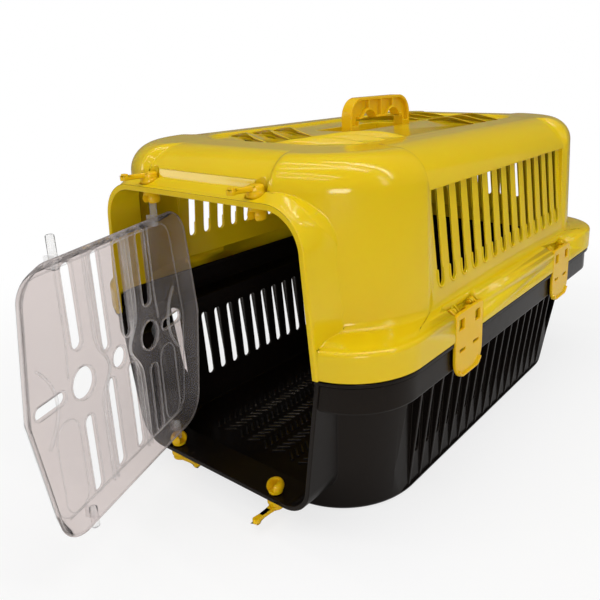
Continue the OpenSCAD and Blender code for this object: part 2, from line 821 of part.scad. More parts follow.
tub();
top_shell();
door();
upper_latch(-1, 0) latch_knob(frame_t);  // knob_top_left
upper_latch(1, 0) latch_knob(frame_t);  // knob_top_right
lower_latch(-1, 90) latch_knob(sill_t);  // knob_bottom_left
lower_latch(1, 0) latch_knob(sill_t);  // knob_bottom_right
upper_latch(-1, 0) latch_hook();  // hook_top_left
upper_latch(1, 0) latch_hook();  // hook_top_right
lower_latch(-1, 90) latch_hook();  // hook_bottom_left
lower_latch(1, 0) latch_hook();  // hook_bottom_right
placed_clip(1, -1);  // clip_right_front
placed_clip(1, 1);  // clip_right_rear
placed_clip(-1, -1);  // clip_left_front
placed_clip(-1, 1);  // clip_left_rear
handle();
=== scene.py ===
# Moulded pet carrier: yellow top shell on a black tub, with a clear door, latches, clips and a handle.
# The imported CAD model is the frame: the doorway looks towards -Y, +Z is up, and the base stands on Z = 0.
# Sizes are written in millimetres. Where a mesh is made they are turned into metres.

import math

import bmesh
import bpy
from mathutils import Matrix, Vector


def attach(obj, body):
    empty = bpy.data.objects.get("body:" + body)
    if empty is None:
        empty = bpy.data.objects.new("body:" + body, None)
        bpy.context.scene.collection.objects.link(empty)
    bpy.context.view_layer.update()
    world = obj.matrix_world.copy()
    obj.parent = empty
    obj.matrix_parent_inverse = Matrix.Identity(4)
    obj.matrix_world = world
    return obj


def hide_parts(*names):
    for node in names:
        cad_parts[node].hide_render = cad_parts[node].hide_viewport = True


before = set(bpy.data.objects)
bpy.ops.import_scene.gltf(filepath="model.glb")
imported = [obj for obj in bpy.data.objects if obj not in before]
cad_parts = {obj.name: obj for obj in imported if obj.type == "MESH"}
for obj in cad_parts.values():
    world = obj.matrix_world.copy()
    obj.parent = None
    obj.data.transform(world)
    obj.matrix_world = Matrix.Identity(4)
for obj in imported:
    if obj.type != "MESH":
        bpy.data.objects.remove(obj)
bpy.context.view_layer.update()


# ---- Top shell ----
# The upper half is one injection moulding of polypropylene, about 3 mm thick, yellow all through. Its
# mould was polished, so it is glossy. It has a flange, a dome with a rounded shoulder, a sunken roof
# panel with a pocket for the handle, and vents that the mould's sliding parts leave open.

MM = 0.001
FLANGE_L, FLANGE_W, FLANGE_R = 500, 342, 61
SEAM_Z, FLANGE_Z, CROWN_Z = 146, 170, 174
DOME_L, DOME_W, DOME_R = 488, 312, 100
SHOULDER_H, SHOULDER_W = 36, 42
CORNER_H, CORNER_W = 26, 28
ROOF_Z, ROOF_FACE_Z = 301, 299
DOME_LEAN = 3
WALL = 3
WALL_STEP = 2
SIDE_STEP_L, END_STEP_L = 298, 144
ROOF_PANEL_L, ROOF_PANEL_W, ROOF_PANEL_R = 340, 176, 40


def linear(code):
    """Linear RGBA of an sRGB hex colour."""
    parts = [int(code[i:i + 2], 16) / 255 for i in (1, 3, 5)]
    return [c / 12.92 if c <= 0.04045 else ((c + 0.055) / 1.055) ** 2.4 for c in parts] + [1.0]


def add_node(tree, kind, inputs=None, **settings):
    """Adds one node, sets its properties, and sets or links its inputs."""
    made = tree.nodes.new(kind)
    for key, value in settings.items():
        setattr(made, key, value)
    for key, value in (inputs or {}).items():
        if isinstance(value, bpy.types.NodeSocket):
            tree.links.new(value, made.inputs[key])
        else:
            made.inputs[key].default_value = value
    return made


def moulded_plastic(name, colours, rough, peel_mm, peel, grain_mm, grain, shader):
    """An opaque moulded plastic: two close colours in soft clouds, and two scales of relief.

    The Bevel node adds the small radius that even a sharp moulded edge has."""
    material = bpy.data.materials.new(name)
    material.use_nodes = True
    tree = material.node_tree
    tree.nodes.clear()
    place = add_node(tree, "ShaderNodeTexCoord").outputs["Object"]
    clouds = add_node(tree, "ShaderNodeTexNoise", {"Vector": place, "Scale": 1 / (70 * MM), "Detail": 3.0})
    colour = add_node(tree, "ShaderNodeMix", {"Factor": clouds.outputs["Fac"], 6: linear(colours[0]),
                                              7: linear(colours[1])}, data_type="RGBA")
    fine = add_node(tree, "ShaderNodeTexNoise", {"Vector": place, "Scale": 1 / (grain_mm * MM),
                                                 "Detail": 2.0})
    gloss = add_node(tree, "ShaderNodeMapRange", {"Value": fine.outputs["Fac"], "To Min": rough[0],
                                                  "To Max": rough[1]})
    wave = add_node(tree, "ShaderNodeTexNoise", {"Vector": place, "Scale": 1 / (peel_mm * MM),
                                                 "Detail": 1.0})
    corner = add_node(tree, "ShaderNodeBevel", {"Radius": 0.8 * MM}, samples=6)
    low = add_node(tree, "ShaderNodeBump", {"Height": wave.outputs["Fac"], "Strength": peel,
                                            "Distance": 1 * MM, "Normal": corner.outputs["Normal"]})
    high = add_node(tree, "ShaderNodeBump", {"Height": fine.outputs["Fac"], "Strength": grain,
                                             "Distance": 0.1 * MM, "Normal": low.outputs["Normal"]})
    inputs = {"Base Color": colour.outputs[2], "Roughness": gloss.outputs["Result"],
              "Normal": high.outputs["Normal"]}
    surface = add_node(tree, "ShaderNodeBsdfPrincipled", {**inputs, **shader})
    add_node(tree, "ShaderNodeOutputMaterial", {"Surface": surface.outputs["BSDF"]})
    return material


# Polypropylene, injection moulded in a polished mould: even yellow, glossy, a little light spreading
# under the surface, and the faint waviness (orange peel, 11 mm) that breaks up the highlights.
yellow_pp = moulded_plastic("yellow polypropylene, polished mould", ("#d9bb10", "#d3b10c"), (0.08, 0.14),
                            11, 0.05, 0.9, 0.05,
                            {"IOR": 1.49, "Specular IOR Level": 0.3, "Subsurface Weight": 0.35,
                             "Subsurface Scale": 2.5 * MM, "Subsurface Radius": (1.0, 0.5, 0.1)})


def mesh_object(name, points, faces, material):
    """A mesh from points in millimetres, its faces turned outwards."""
    mesh = bpy.data.meshes.new(name)
    mesh.from_pydata([(x * MM, y * MM, z * MM) for x, y, z in points], [], faces)
    made = bpy.data.objects.new(name, mesh)
    bpy.context.scene.collection.objects.link(made)
    work = bmesh.new()
    work.from_mesh(mesh)
    bmesh.ops.remove_doubles(work, verts=work.verts, dist=0.001 * MM)
    bmesh.ops.recalc_face_normals(work, faces=work.faces)
    work.to_mesh(mesh)
    work.free()
    mesh.materials.append(material)
    return made


def loft(name, rings, material):
    """A closed skin over a stack of rings that have the same number of points."""
    count = len(rings[0])
    points = [p for ring in rings for p in ring]
    faces = [tuple(range(count)), tuple(range(len(points) - count, len(points)))]
    for level in range(len(rings) - 1):
        for i in range(count):
            j = (i + 1) % count
            a, b = level * count, (level + 1) * count
            faces.append((a + i, a + j, b + j, b + i))
    return mesh_object(name, points, faces, material)


def prism(name, outline, axis, low, high, material):
    """An outline pushed straight along one axis, from low to high."""
    slot = "xyz".index(axis)
    rings = []
    for d in (low, high):
        ring = [[u, v] for u, v in outline]
        for point in ring:
            point.insert(slot, d)
        rings.append(ring)
    return loft(name, rings, material)


def finished(obj):
    """Turns an object's live modifiers into a plain mesh."""
    graph = bpy.context.evaluated_depsgraph_get()
    mesh = bpy.data.meshes.new_from_object(obj.evaluated_get(graph))
    obj.modifiers.clear()
    obj.data = mesh
    return obj


def discard(*objects):
    for obj in objects:
        bpy.data.objects.remove(obj, do_unlink=True)


def boolean(obj, operation, *tools):
    """Cuts, joins or trims an object with each tool in turn, and removes the tools."""
    for tool in tools:
        step = obj.modifiers.new("step", "BOOLEAN")
        step.operation = operation
        step.solver = "MANIFOLD"
        step.object = tool
        finished(obj)
    discard(*tools)
    return obj


def joined(name, objects):
    """One object from the meshes of several."""
    work = bmesh.new()
    for obj in objects:
        work.from_mesh(obj.data)
    mesh = bpy.data.meshes.new(name)
    work.to_mesh(mesh)
    work.free()
    for material in objects[0].data.materials:
        mesh.materials.append(material)
    made = bpy.data.objects.new(name, mesh)
    bpy.context.scene.collection.objects.link(made)
    discard(*objects)
    return made


def mirrored(obj):
    """A copy of a tool or detail on the other side of the carrier."""
    copy = obj.copy()
    copy.data = obj.data.copy()
    bpy.context.scene.collection.objects.link(copy)
    copy.data.transform(Matrix.Scale(-1, 4, (1, 0, 0)))
    copy.data.flip_normals()
    return copy


def cut_both_sides(obj, tool):
    """Cuts with a tool and with its mirror image."""
    return boolean(obj, "DIFFERENCE", mirrored(tool), tool)


def round_edges(obj, width, angle=38, segments=2, sharp=lambda place: False):
    """The small radius that a moulded edge has, then even shading over the flat faces."""
    work = bmesh.new()
    work.from_mesh(obj.data)
    bmesh.ops.remove_doubles(work, verts=work.verts, dist=0.03 * MM)
    bmesh.ops.dissolve_degenerate(work, edges=work.edges, dist=0.02 * MM)
    bmesh.ops.dissolve_limit(work, angle_limit=math.radians(0.1), verts=work.verts, edges=work.edges)
    weight = work.edges.layers.float.new("bevel_weight_edge")
    for edge in work.edges:
        turn = edge.calc_face_angle(0) if len(edge.link_faces) == 2 else 0
        middle = (edge.verts[0].co + edge.verts[1].co) / 2 / MM
        edge[weight] = 1.0 if turn > math.radians(angle) and not sharp(middle) else 0.0
    work.to_mesh(obj.data)
    work.free()
    if width:
        bevel = obj.modifiers.new("edge radius", "BEVEL")
        bevel.width = width * MM
        bevel.segments = segments
        bevel.limit_method = "WEIGHT"
        bevel.use_clamp_overlap = False
        finished(obj)
    obj.data.shade_smooth()
    obj.data.set_sharp_from_angle(angle=math.radians(50))
    even = obj.modifiers.new("even shading", "WEIGHTED_NORMAL")
    even.keep_sharp = True
    return finished(obj)


def row_tree():
    """Geometry Nodes that repeat one shape along a line."""
    tree = bpy.data.node_groups.new("row of like shapes", "GeometryNodeTree")
    face = tree.interface
    face.new_socket(name="Shape", in_out="INPUT", socket_type="NodeSocketGeometry")
    face.new_socket(name="Count", in_out="INPUT", socket_type="NodeSocketInt")
    face.new_socket(name="First", in_out="INPUT", socket_type="NodeSocketVector")
    face.new_socket(name="Pitch", in_out="INPUT", socket_type="NodeSocketVector")
    face.new_socket(name="Finish", in_out="INPUT", socket_type="NodeSocketMaterial")
    face.new_socket(name="Row", in_out="OUTPUT", socket_type="NodeSocketGeometry")
    given = add_node(tree, "NodeGroupInput").outputs
    line = add_node(tree, "GeometryNodeMeshLine", {"Count": given["Count"], "Start Location": given["First"],
                                                   "Offset": given["Pitch"]}, mode="OFFSET")
    copies = add_node(tree, "GeometryNodeInstanceOnPoints", {"Points": line.outputs["Mesh"],
                                                             "Instance": given["Shape"]})
    solid = add_node(tree, "GeometryNodeRealizeInstances", {"Geometry": copies.outputs["Instances"]})
    coated = add_node(tree, "GeometryNodeSetMaterial", {"Geometry": solid.outputs["Geometry"],
                                                        "Material": given["Finish"]})
    add_node(tree, "NodeGroupOutput", {"Row": coated.outputs["Geometry"]})
    return tree


ROW_TREE = row_tree()


def row(obj, count, first, pitch, material):
    """Repeats a shape count times, from first, pitch apart (both in millimetres)."""
    values = {"Count": count, "First": [v * MM for v in first], "Pitch": [v * MM for v in pitch],
              "Finish": material}
    step = obj.modifiers.new("row", "NODES")
    step.node_group = ROW_TREE
    for item in ROW_TREE.interface.items_tree:
        if item.in_out == "INPUT" and item.name in values:
            step[item.identifier] = values[item.name]
    return finished(obj)


def arc(cx, cy, r, start, end, steps):
    """Points of an arc in degrees, both ends included."""
    turns = [math.radians(start + (end - start) * i / steps) for i in range(steps + 1)]
    return [(cx + r * math.cos(t), cy + r * math.sin(t)) for t in turns]


def ease(t):
    t = min(max(t, 0.0), 1.0)
    return t * t * (3 - 2 * t)


def rounded_ring(half_l, half_w, r, z):
    """Rounded rectangle at height z, anticlockwise from +X, with the same count in every ring."""
    side = [(half_w, (half_l - r) * i / 36) for i in range(36)]
    corner = arc(half_w - r, half_l - r, r, 0, 90, 44)
    end = [((half_w - r) * (1 - i / 16), half_l) for i in range(1, 17)]
    quarter = side + corner + end
    flat = quarter[:-1] + [(-x, y) for x, y in reversed(quarter)][:-1]
    flat += [(-x, -y) for x, y in quarter][:-1] + [(x, -y) for x, y in reversed(quarter)][:-1]
    return [(x, y, z) for x, y in flat]


def middle_share(x, y):
    """1 in the middle of a wall, 0 on a corner column, with a soft step between them."""
    end = ease((END_STEP_L / 2 + 3 - abs(x)) / 6) if abs(y) > 160 else 0
    side = ease((SIDE_STEP_L / 2 + 3 - abs(y)) / 6) if abs(x) > 80 else 0
    return max(end, side)


def stepped(ring, depth):
    """Moves the middle of each wall inwards."""
    count = len(ring)
    out = []
    for i, (x, y, z) in enumerate(ring):
        ax, ay = ring[i - 1][:2]
        bx, by = ring[(i + 1) % count][:2]
        length = math.hypot(bx - ax, by - ay) or 1
        nx, ny = (by - ay) / length, -(bx - ax) / length
        move = depth * middle_share(x, y)
        out.append((x - nx * move, y - ny * move, z))
    return out


def dome_ring(reach, z, depth):
    return stepped(rounded_ring(DOME_L / 2 - reach, DOME_W / 2 - reach, DOME_R - reach, z), depth)


COLUMNS = [1 - middle_share(x, y) for x, y, z in rounded_ring(DOME_L / 2, DOME_W / 2, DOME_R, 0)]


def mixed(wall, column):
    """A ring that follows one outline on the walls and another on the corner columns."""
    return [tuple(w + (c - w) * share for w, c in zip(p, q)) for p, q, share in zip(wall, column, COLUMNS)]


def shoulder_rings(inset, drop, depth):
    """Rings of the wall from the flange up, and of the rounded shoulder, which is squarer at the corners."""
    foot_z = CROWN_Z + 8
    top_z = ROOF_Z - drop
    rings = []
    for i in range(1, 9):
        t = i / 9
        reach = inset + DOME_LEAN * t
        rings.append(mixed(dome_ring(reach, foot_z + (top_z - SHOULDER_H - foot_z) * t, depth),
                           dome_ring(reach, foot_z + (top_z - CORNER_H - foot_z) * t, depth)))
    for i in range(19):
        a = math.radians(i * 5)
        wall, column = [dome_ring(inset + DOME_LEAN + width * (1 - math.cos(a)),
                                  top_z - height * (1 - math.sin(a)), depth * math.cos(a) ** 0.5)
                        for width, height in ((SHOULDER_W, SHOULDER_H), (CORNER_W, CORNER_H))]
        rings.append(mixed(wall, column))
    return rings


def roof_rings():
    """The rim of the roof, the small step down, and the sunken panel."""
    half_l, half_w, r = ROOF_PANEL_L / 2, ROOF_PANEL_W / 2, ROOF_PANEL_R
    steps = [(14, 0.15), (6, 0.5), (3, 0.6), (1.4, 0.3), (0.6, -0.5), (0.0, -1.4), (-1.2, -2), (-12, -2)]
    rings = [rounded_ring(half_l + grow, half_w + grow, r + grow * 0.5, ROOF_Z + rise)
             for grow, rise in steps]
    for share in (0.75, 0.45, 0.15):
        rings.append(rounded_ring(half_l * share, half_w * share, r * share, ROOF_FACE_Z))
    return rings


def flange_rings():
    """The flange, its rounded edge, its rise to the dome and the fillet at the dome's foot."""
    half_l, half_w, r, round_r = FLANGE_L / 2, FLANGE_W / 2, FLANGE_R, 4
    rings = [rounded_ring(half_l - 0.6, half_w - 0.6, r - 0.6, SEAM_Z),
             rounded_ring(half_l, half_w, r, SEAM_Z + 0.7)]
    for i in range(7):
        a = math.radians(i * 15)
        inset = round_r * (1 - math.cos(a))
        z = FLANGE_Z - round_r + round_r * math.sin(a)
        rings.append(rounded_ring(half_l - inset, half_w - inset, r - inset, z))
    edge = rings[-1]
    foot = dome_ring(0, CROWN_Z, WALL_STEP)
    reach = [math.dist(e[:2], f[:2]) for e, f in zip(edge, foot)]
    fillet = [min(7.0, 0.5 * d) for d in reach]

    def between(out, up):
        """A ring of the fillet: out and up are shares of its radius, which differs along the ring."""
        ring = []
        for e, f, d, fillet_r in zip(edge, foot, reach, fillet):
            t = fillet_r * out / d
            ring.append((f[0] + (e[0] - f[0]) * t, f[1] + (e[1] - f[1]) * t, CROWN_Z + fillet_r * up))
        return ring

    for t in (0.35, 0.7):
        rings.append([(e[0] + (f[0] - e[0]) * t * 0.5, e[1] + (f[1] - e[1]) * t * 0.5,
                       FLANGE_Z + (CROWN_Z - FLANGE_Z) * ease(t * 0.9)) for e, f in zip(edge, foot)])
    for angle in (90, 75, 60, 45, 30, 15, 0):
        a = math.radians(angle)
        rings.append(between(1 - math.cos(a), 1 - math.sin(a)))
    return rings


def outer_shell():
    return loft("dome", flange_rings() + shoulder_rings(0, 0, WALL_STEP) + roof_rings(), yellow_pp)


def inner_shell():
    """The hollow under flange and dome, one wall thickness inside."""
    inset = WALL + WALL_STEP
    rings = [rounded_ring(FLANGE_L / 2 - WALL, FLANGE_W / 2 - WALL, FLANGE_R - WALL, z) for z in (140, 166)]
    rings.append(rounded_ring(FLANGE_L / 2 - WALL - 3, FLANGE_W / 2 - WALL - 4, FLANGE_R - WALL, 167))
    rings.append(dome_ring(inset, 168, 0))
    rings += shoulder_rings(inset, inset, 0)
    return loft("dome hollow", rings, yellow_pp)


DOOR_WAY_W, DOOR_WAY_TOP_W, DOOR_WAY_Z, DOOR_WAY_R = 234, 220, 266, 30
FRONT_Y, ARCH_LIP = -251, 5


def arch_outline(grow, seat_z=SEAM_Z):
    """The doorway's arch in X and Z, with an outward direction for every point."""
    half, half_top, r = DOOR_WAY_W / 2 + grow, DOOR_WAY_TOP_W / 2 + grow, DOOR_WAY_R + grow
    top = DOOR_WAY_Z + grow
    side = [(half + (half_top - half) * i / 12, seat_z + (top - r - seat_z) * i / 12) for i in range(12)]
    corner = arc(half_top - r, top - r, r, 0, 90, 20)
    over = [((half_top - r) * (1 - i / 12), top) for i in range(1, 13)]
    right = side + corner + over
    return right + [(-x, z) for x, z in reversed(right)][1:]


def dome_front(x):
    """Where the dome's front wall stands beside the doorway, which is round in plan."""
    beyond = max(abs(x) - (DOME_W / 2 - DOME_R), 0)
    return DOME_R - DOME_L / 2 - math.sqrt((DOME_R - DOME_LEAN) ** 2 - beyond ** 2)


def arch_solid():
    """The arch: a lip that turns into the dome in a soft fillet. Under the levers it stays low."""
    rings = []
    for share in (0, 0.02, 0.06, 0.15, 0.25, 0.35, 0.45, 0.55, 0.65, 0.75, 0.85, 0.95, 1):
        front_r = {0: -1.0, 0.02: -0.35}.get(share, 0)
        ring = []
        inner, outer = arch_outline(ARCH_LIP + front_r), arch_outline(ARCH_LIP + front_r + 1)
        for (x, z), (out_x, out_z) in zip(inner, outer):
            upward = ease((z - 235) / 32)
            depth = dome_front(x) - FRONT_Y
            straight = depth * 0.75 * (1 - upward) + 3.5 * upward
            reach = (depth + 2) * (1 - upward) + 12.4 * upward
            grow = (4 + 1.4 * upward) * share ** 2
            y = FRONT_Y + 2 * share * (1 - share) * straight + share ** 2 * reach
            ring.append((x + (out_x - x) * grow, y, z + (out_z - z) * grow))
        rings.append(ring)
    # the last rings only carry the solid on into the dome
    rings.append([(x, y + 8, z) for x, y, z in rings[-1]])
    rings.append([(x, -200, z) for x, y, z in rings[-1]])
    return loft("arch", rings, yellow_pp)


def vent_recess(name, x_foot, x_head, half_l, head_z, z_foot=186):
    """The wedge that sets a side panel back: flush at its foot, deepest under the overhang."""
    return prism(name, [(x_foot, z_foot), (FLANGE_W, z_foot), (FLANGE_W, head_z), (x_head, head_z)],
                 "y", -half_l, half_l, yellow_pp)


SIDE_VENTS, SIDE_PITCH, SIDE_VENT_R, SIDE_VENT_Z = 14, 20, 4.3, 194
ROOF_VENTS, ROOF_VENT_X, ROOF_VENT_Y, ROOF_PITCH = 3, 43, 84, 30


def panel_x(z):
    """How far out the side panel stands, which leans inwards."""
    return 154 - 9 * (z - 186) / 83


def side_row(vent):
    """One side's row of vents, or of their lips."""
    return row(vent, SIDE_VENTS, (0, -130, 0), (0, SIDE_PITCH, 0), yellow_pp)


def roof_row(vent, sx, sy):
    """One quarter of the roof's vents, or of their hoods."""
    first = (sx * ROOF_VENT_X, sy * ROOF_VENT_Y, 0)
    return row(vent, ROOF_VENTS, first, (0, sy * ROOF_PITCH, 0), yellow_pp)


def side_vent():
    """A tool for one side vent: round at the foot, square under the overhang."""
    r, head_z = SIDE_VENT_R, 269.4
    outline = arc(0, SIDE_VENT_Z, r, 180, 360, 8) + [(r, head_z), (-r, head_z)]
    inner = [(118, y, z) for y, z in outline]
    outer = [(panel_x(z) + 0.7, y, z) for y, z in outline]
    return loft("side vent", [inner, outer], yellow_pp)


def wave(share, spread, half_width=3.5, length=84, bend=4):
    """A point of a waved roof vent: share runs along it, spread is -1, 0 or 1 across it."""
    turn = math.radians(-21)
    x = length * (share - 0.5)
    y = bend * math.sin(2 * math.pi * share) + spread * half_width * math.sin(math.pi * share) ** 0.5
    return x * math.cos(turn) - y * math.sin(turn), x * math.sin(turn) + y * math.cos(turn)


def strip(name, path, width, low, high, place, material, closed=False):
    """A low rounded rib along a flat path. place turns (u, v, height) into a point."""
    count = len(path)
    section = [(-1, 0), (-0.86, 0.7), (-0.4, 1), (0.4, 1), (0.86, 0.7), (1, 0)]
    points, faces = [], []
    for i, (u, v) in enumerate(path):
        before = path[i - 1] if closed or i else path[0]
        after = path[(i + 1) % count] if closed or i < count - 1 else path[-1]
        du, dv = after[0] - before[0], after[1] - before[1]
        length = math.hypot(du, dv) or 1
        nu, nv = -dv / length * width / 2, du / length * width / 2
        points += [place(u + nu * a, v + nv * a, low + (high - low) * b) for a, b in section]
    size = len(section)
    for i in range(count if closed else count - 1):
        j = (i + 1) % count
        for k in range(size):
            m = (k + 1) % size
            faces.append((i * size + k, i * size + m, j * size + m, j * size + k))
    if not closed:
        faces += [tuple(range(size)), tuple(range((count - 1) * size, count * size))]
    return mesh_object(name, points, faces, material)


CLIP_YS = (-113, 103)
NOTCH_W, NOTCH_X0, NOTCH_Z = 49.6, 158, 161
CLIP_PIN_X, CLIP_PIN_Z = 163, 168
POCKET_X0, POCKET_X1, POCKET_HALF_L, POCKET_Z = -39, 7, 55, 287
HANDLE_Y = 4
HINGE_Z = 294
PIN_X, PIN_Y = 62, -240


def box(name, x, y, z, material):
    """A block between two places on each axis, which a later step rounds or cuts."""
    return prism(name, [(x[0], y[0]), (x[1], y[0]), (x[1], y[1]), (x[0], y[1])], "z", z[0], z[1], material)


def circle(cx, cy, r, steps=32):
    return arc(cx, cy, r, 0, 360, steps)[:-1]


def near_clip(y):
    return min(abs(y - clip_y) for clip_y in CLIP_YS) < 30


def clip_seat(sx, clip_y):
    """The wall behind a clip's notch."""
    outline = [(155, 167), (155, 158), (165.5, 158), (165.5, 149.5), (168.5, 149.5), (168.5, 167)]
    turned_out = [(sx * x, z) for x, z in outline]
    return prism("clip seat", turned_out, "y", clip_y - 27.8, clip_y + 27.8, yellow_pp)


def pocket(name, wall, low, high):
    """The pocket of the handle, or with a wall the block around it."""
    return box(name, (POCKET_X0 - wall, POCKET_X1 + wall),
               (HANDLE_Y - POCKET_HALF_L - wall, HANDLE_Y + POCKET_HALF_L + wall), (low, high), yellow_pp)


def make_top_shell():
    shell = boolean(outer_shell(), "UNION", arch_solid())
    hollow = inner_shell()
    cut_both_sides(hollow, vent_recess("panel back", 151.8, 142.8, 147, 272))
    boolean(shell, "DIFFERENCE", hollow)
    # walls of the pocket, of the clip seats and of the upper latches' seats
    boolean(shell, "UNION", pocket("pocket walls", WALL, POCKET_Z - WALL, ROOF_Z - 2.2))
    for sx in (-1, 1):
        for clip_y in CLIP_YS:
            boolean(shell, "UNION", clip_seat(sx, clip_y))
        boss = prism("latch seat wall", circle(sx * PIN_X, PIN_Y, 11.3), "z", 262, 284, yellow_pp)
        boolean(boss, "INTERSECT", outer_shell())
        boolean(shell, "UNION", boss)
    # side panels, doorway and pocket
    cut_both_sides(shell, vent_recess("side panel", 154, 145, 143, 269))
    way = prism("doorway", arch_outline(0, SEAM_Z - 1), "y", FRONT_Y - 1, -218, yellow_pp)
    boolean(shell, "DIFFERENCE", way)
    boolean(shell, "DIFFERENCE", pocket("pocket", 0, POCKET_Z, 305))
    # vents of the sides, the rear wall and the roof
    cut_both_sides(shell, side_row(side_vent()))
    slot = arc(0, 249, 4, 0, 180, 8) + arc(0, 194, 4, 180, 360, 8)
    rear = row(prism("rear vent", slot, "y", 210, 250, yellow_pp), 7, (-60, 0, 0), (20, 0, 0), yellow_pp)
    boolean(shell, "DIFFERENCE", rear)
    steps = 20
    outline = [wave(i / steps, -1) for i in range(steps + 1)]
    outline += [wave(i / steps, 1) for i in range(steps - 1, 0, -1)]
    for sx in (-1, 1):
        for sy in (-1, 1):
            vent = prism("roof vent", [(sx * x, sy * y) for x, y in outline], "z", 285, 305, yellow_pp)
            boolean(shell, "DIFFERENCE", roof_row(vent, sx, sy))
    # seats and bores of the upper latches, the handle's hinge, and the notches of the clips
    for s in (-1, 1):
        hinge_ys = sorted((HANDLE_Y + s * (POCKET_HALF_L - 1), HANDLE_Y + s * (POCKET_HALF_L + 4)))
        boolean(shell, "DIFFERENCE",
                prism("latch seat", circle(s * PIN_X, PIN_Y, 8.3), "z", 271, 320, yellow_pp),
                prism("latch bore", circle(s * PIN_X, PIN_Y, 4.2), "z", 264, 273, yellow_pp),
                prism("hinge bore", circle(0, HINGE_Z, 3.2), "y", *hinge_ys, yellow_pp))
    for sx in (-1, 1):
        for clip_y in CLIP_YS:
            y0, y1 = clip_y - NOTCH_W / 2, clip_y + NOTCH_W / 2
            notch_xs = sorted((sx * NOTCH_X0, sx * 190))
            boolean(shell, "DIFFERENCE", box("notch", notch_xs, (y0, y1), (NOTCH_Z, 190), yellow_pp))
            skirt_xs = sorted((sx * 167.5, sx * 190))
            skirt = box("skirt cut", skirt_xs, (y0 + 0.2, y1 - 0.2), (140, 163), yellow_pp)
            boolean(shell, "DIFFERENCE", skirt)
    return round_edges(shell, 0.7, sharp=lambda p: abs(p.x) > 150 and near_clip(p.y) and p.z < 180)


top_shell = make_top_shell()


def clip_ears(sx, clip_y):
    """Two ears on the notch's floor that hold a clip's hinge pin, and two slanting ribs between them."""
    parts = []
    for side in (-1, 1):
        y = clip_y + side * 15
        outline = [(-3.4, NOTCH_Z - 1.5), (3.4, NOTCH_Z - 1.5)] + arc(0, CLIP_PIN_Z, 3.4, 0, 180, 10)
        outline = [(sx * (CLIP_PIN_X + u), z) for u, z in outline]
        ear = prism("ear", outline, "y", y - 1.5, y + 1.5, yellow_pp)
        bore = prism("bore", circle(sx * CLIP_PIN_X, CLIP_PIN_Z, 2.2, 16), "y", y - 3, y + 3, yellow_pp)
        parts.append(round_edges(boolean(ear, "DIFFERENCE", bore), 0.4))
    slope = [(sx * u, z) for u, z in ((157, 160), (157, 169.5), (158.5, 169.5), (165, 163), (165, 160))]
    for offset in (-8, -3):
        y = clip_y + offset
        parts.append(round_edges(prism("notch rib", slope, "y", y - 1.1, y + 1.1, yellow_pp), 0.4))
    return parts


def vent_hood(sx, sy):
    """A hood that rises beside a waved vent like an eyelid. In front on the right they open rearwards."""
    steps, size = 28, 7
    back = -1 if (sx, sy) == (1, -1) else 1
    path = [wave(0.01 + 0.98 * i / steps, 0) for i in range(steps + 1)]
    path = sorted((sx * x, sy * y) for x, y in path)
    points, faces = [], []
    for i, (x, y) in enumerate(path):
        ax, ay = path[max(i - 1, 0)]
        bx, by = path[min(i + 1, steps)]
        length = math.hypot(bx - ax, by - ay)
        nx, ny = -(by - ay) / length * back, (bx - ax) / length * back
        swell = math.sin(math.pi * i / steps) ** 0.8
        rise = 0.3 + 5.3 * swell
        width = 0.25 + 0.75 * swell
        under = rise - 1.3 if rise > 2 else 0.2
        section = ((9.5, -0.6), (8.6, 0.25), (5.2, rise * 0.72), (1.6, rise), (-0.2, rise - 0.3),
                   (1.0, under), (6.2, -0.6))
        for across, height in section:
            points.append((x + nx * across * width, y + ny * across * width, ROOF_FACE_Z + height))
    for i in range(steps):
        for k in range(size):
            m = (k + 1) % size
            faces.append((i * size + k, i * size + m, (i + 1) * size + m, (i + 1) * size + k))
    faces += [tuple(range(size)), tuple(range(steps * size, (steps + 1) * size))]
    hood = mesh_object("vent hood", points, faces, yellow_pp)
    return roof_row(hood, sx, sy)


def slot_lip(sx):
    """The raised lip round the foot of a side vent."""
    r = SIDE_VENT_R + 0.6
    path = [(r, 204)] + arc(0, SIDE_VENT_Z, r, 0, -180, 10) + [(-r, 204)]
    lip = strip("slot lip", path, 1.7, -0.5, 1.1, lambda u, v, h: (sx * (panel_x(v) + h), u, v), yellow_pp)
    return side_row(lip)


details = [ear for sx in (-1, 1) for clip_y in CLIP_YS for ear in clip_ears(sx, clip_y)]
details += [vent_hood(sx, sy) for sx in (-1, 1) for sy in (-1, 1)] + [slot_lip(sx) for sx in (-1, 1)]
top_shell = joined("shell_top", [top_shell] + details)
top_shell.data.shade_smooth()
top_shell.data.set_sharp_from_angle(angle=math.radians(50))
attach(top_shell, "shell")
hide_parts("top_shell")


# ---- Tub ----
# The lower half: one injection moulding of black polypropylene. Its walls lean out from the base to a
# ledge, above which a smooth band stands up into the flange. Thin ribs stand between the side vents, and
# a raised tread pattern on the floor gives the animal grip.

BASE_L, BASE_W, BASE_R = 432, 268, 74
BODY_L, BODY_W, BODY_R = 472, 304, 80
BAND_L, BAND_W, BAND_R, BAND_Z, RIM_Z = 492, 334, 57, 119, 149
SILL_W, SILL_Z, SILL_R, SILL_T = 204, 24, 24, 4
PANEL_BASE_W, PANEL_TOP_W, PANEL_L = 265, 279, 342
TUB_VENTS, TUB_PITCH, TUB_VENT_R = 16, 18.3, 4

# Black polypropylene from a satin mould: nearly black with a warm cast, satin, with fine grain.
black_pp = moulded_plastic("black polypropylene, satin mould", ("#120e0c", "#0d0a08"), (0.20, 0.30),
                           12, 0.08, 0.8, 0.20,
                           {"IOR": 1.49, "Specular IOR Level": 0.14,
                            "Specular Tint": (1.0, 0.86, 0.74, 1.0)})

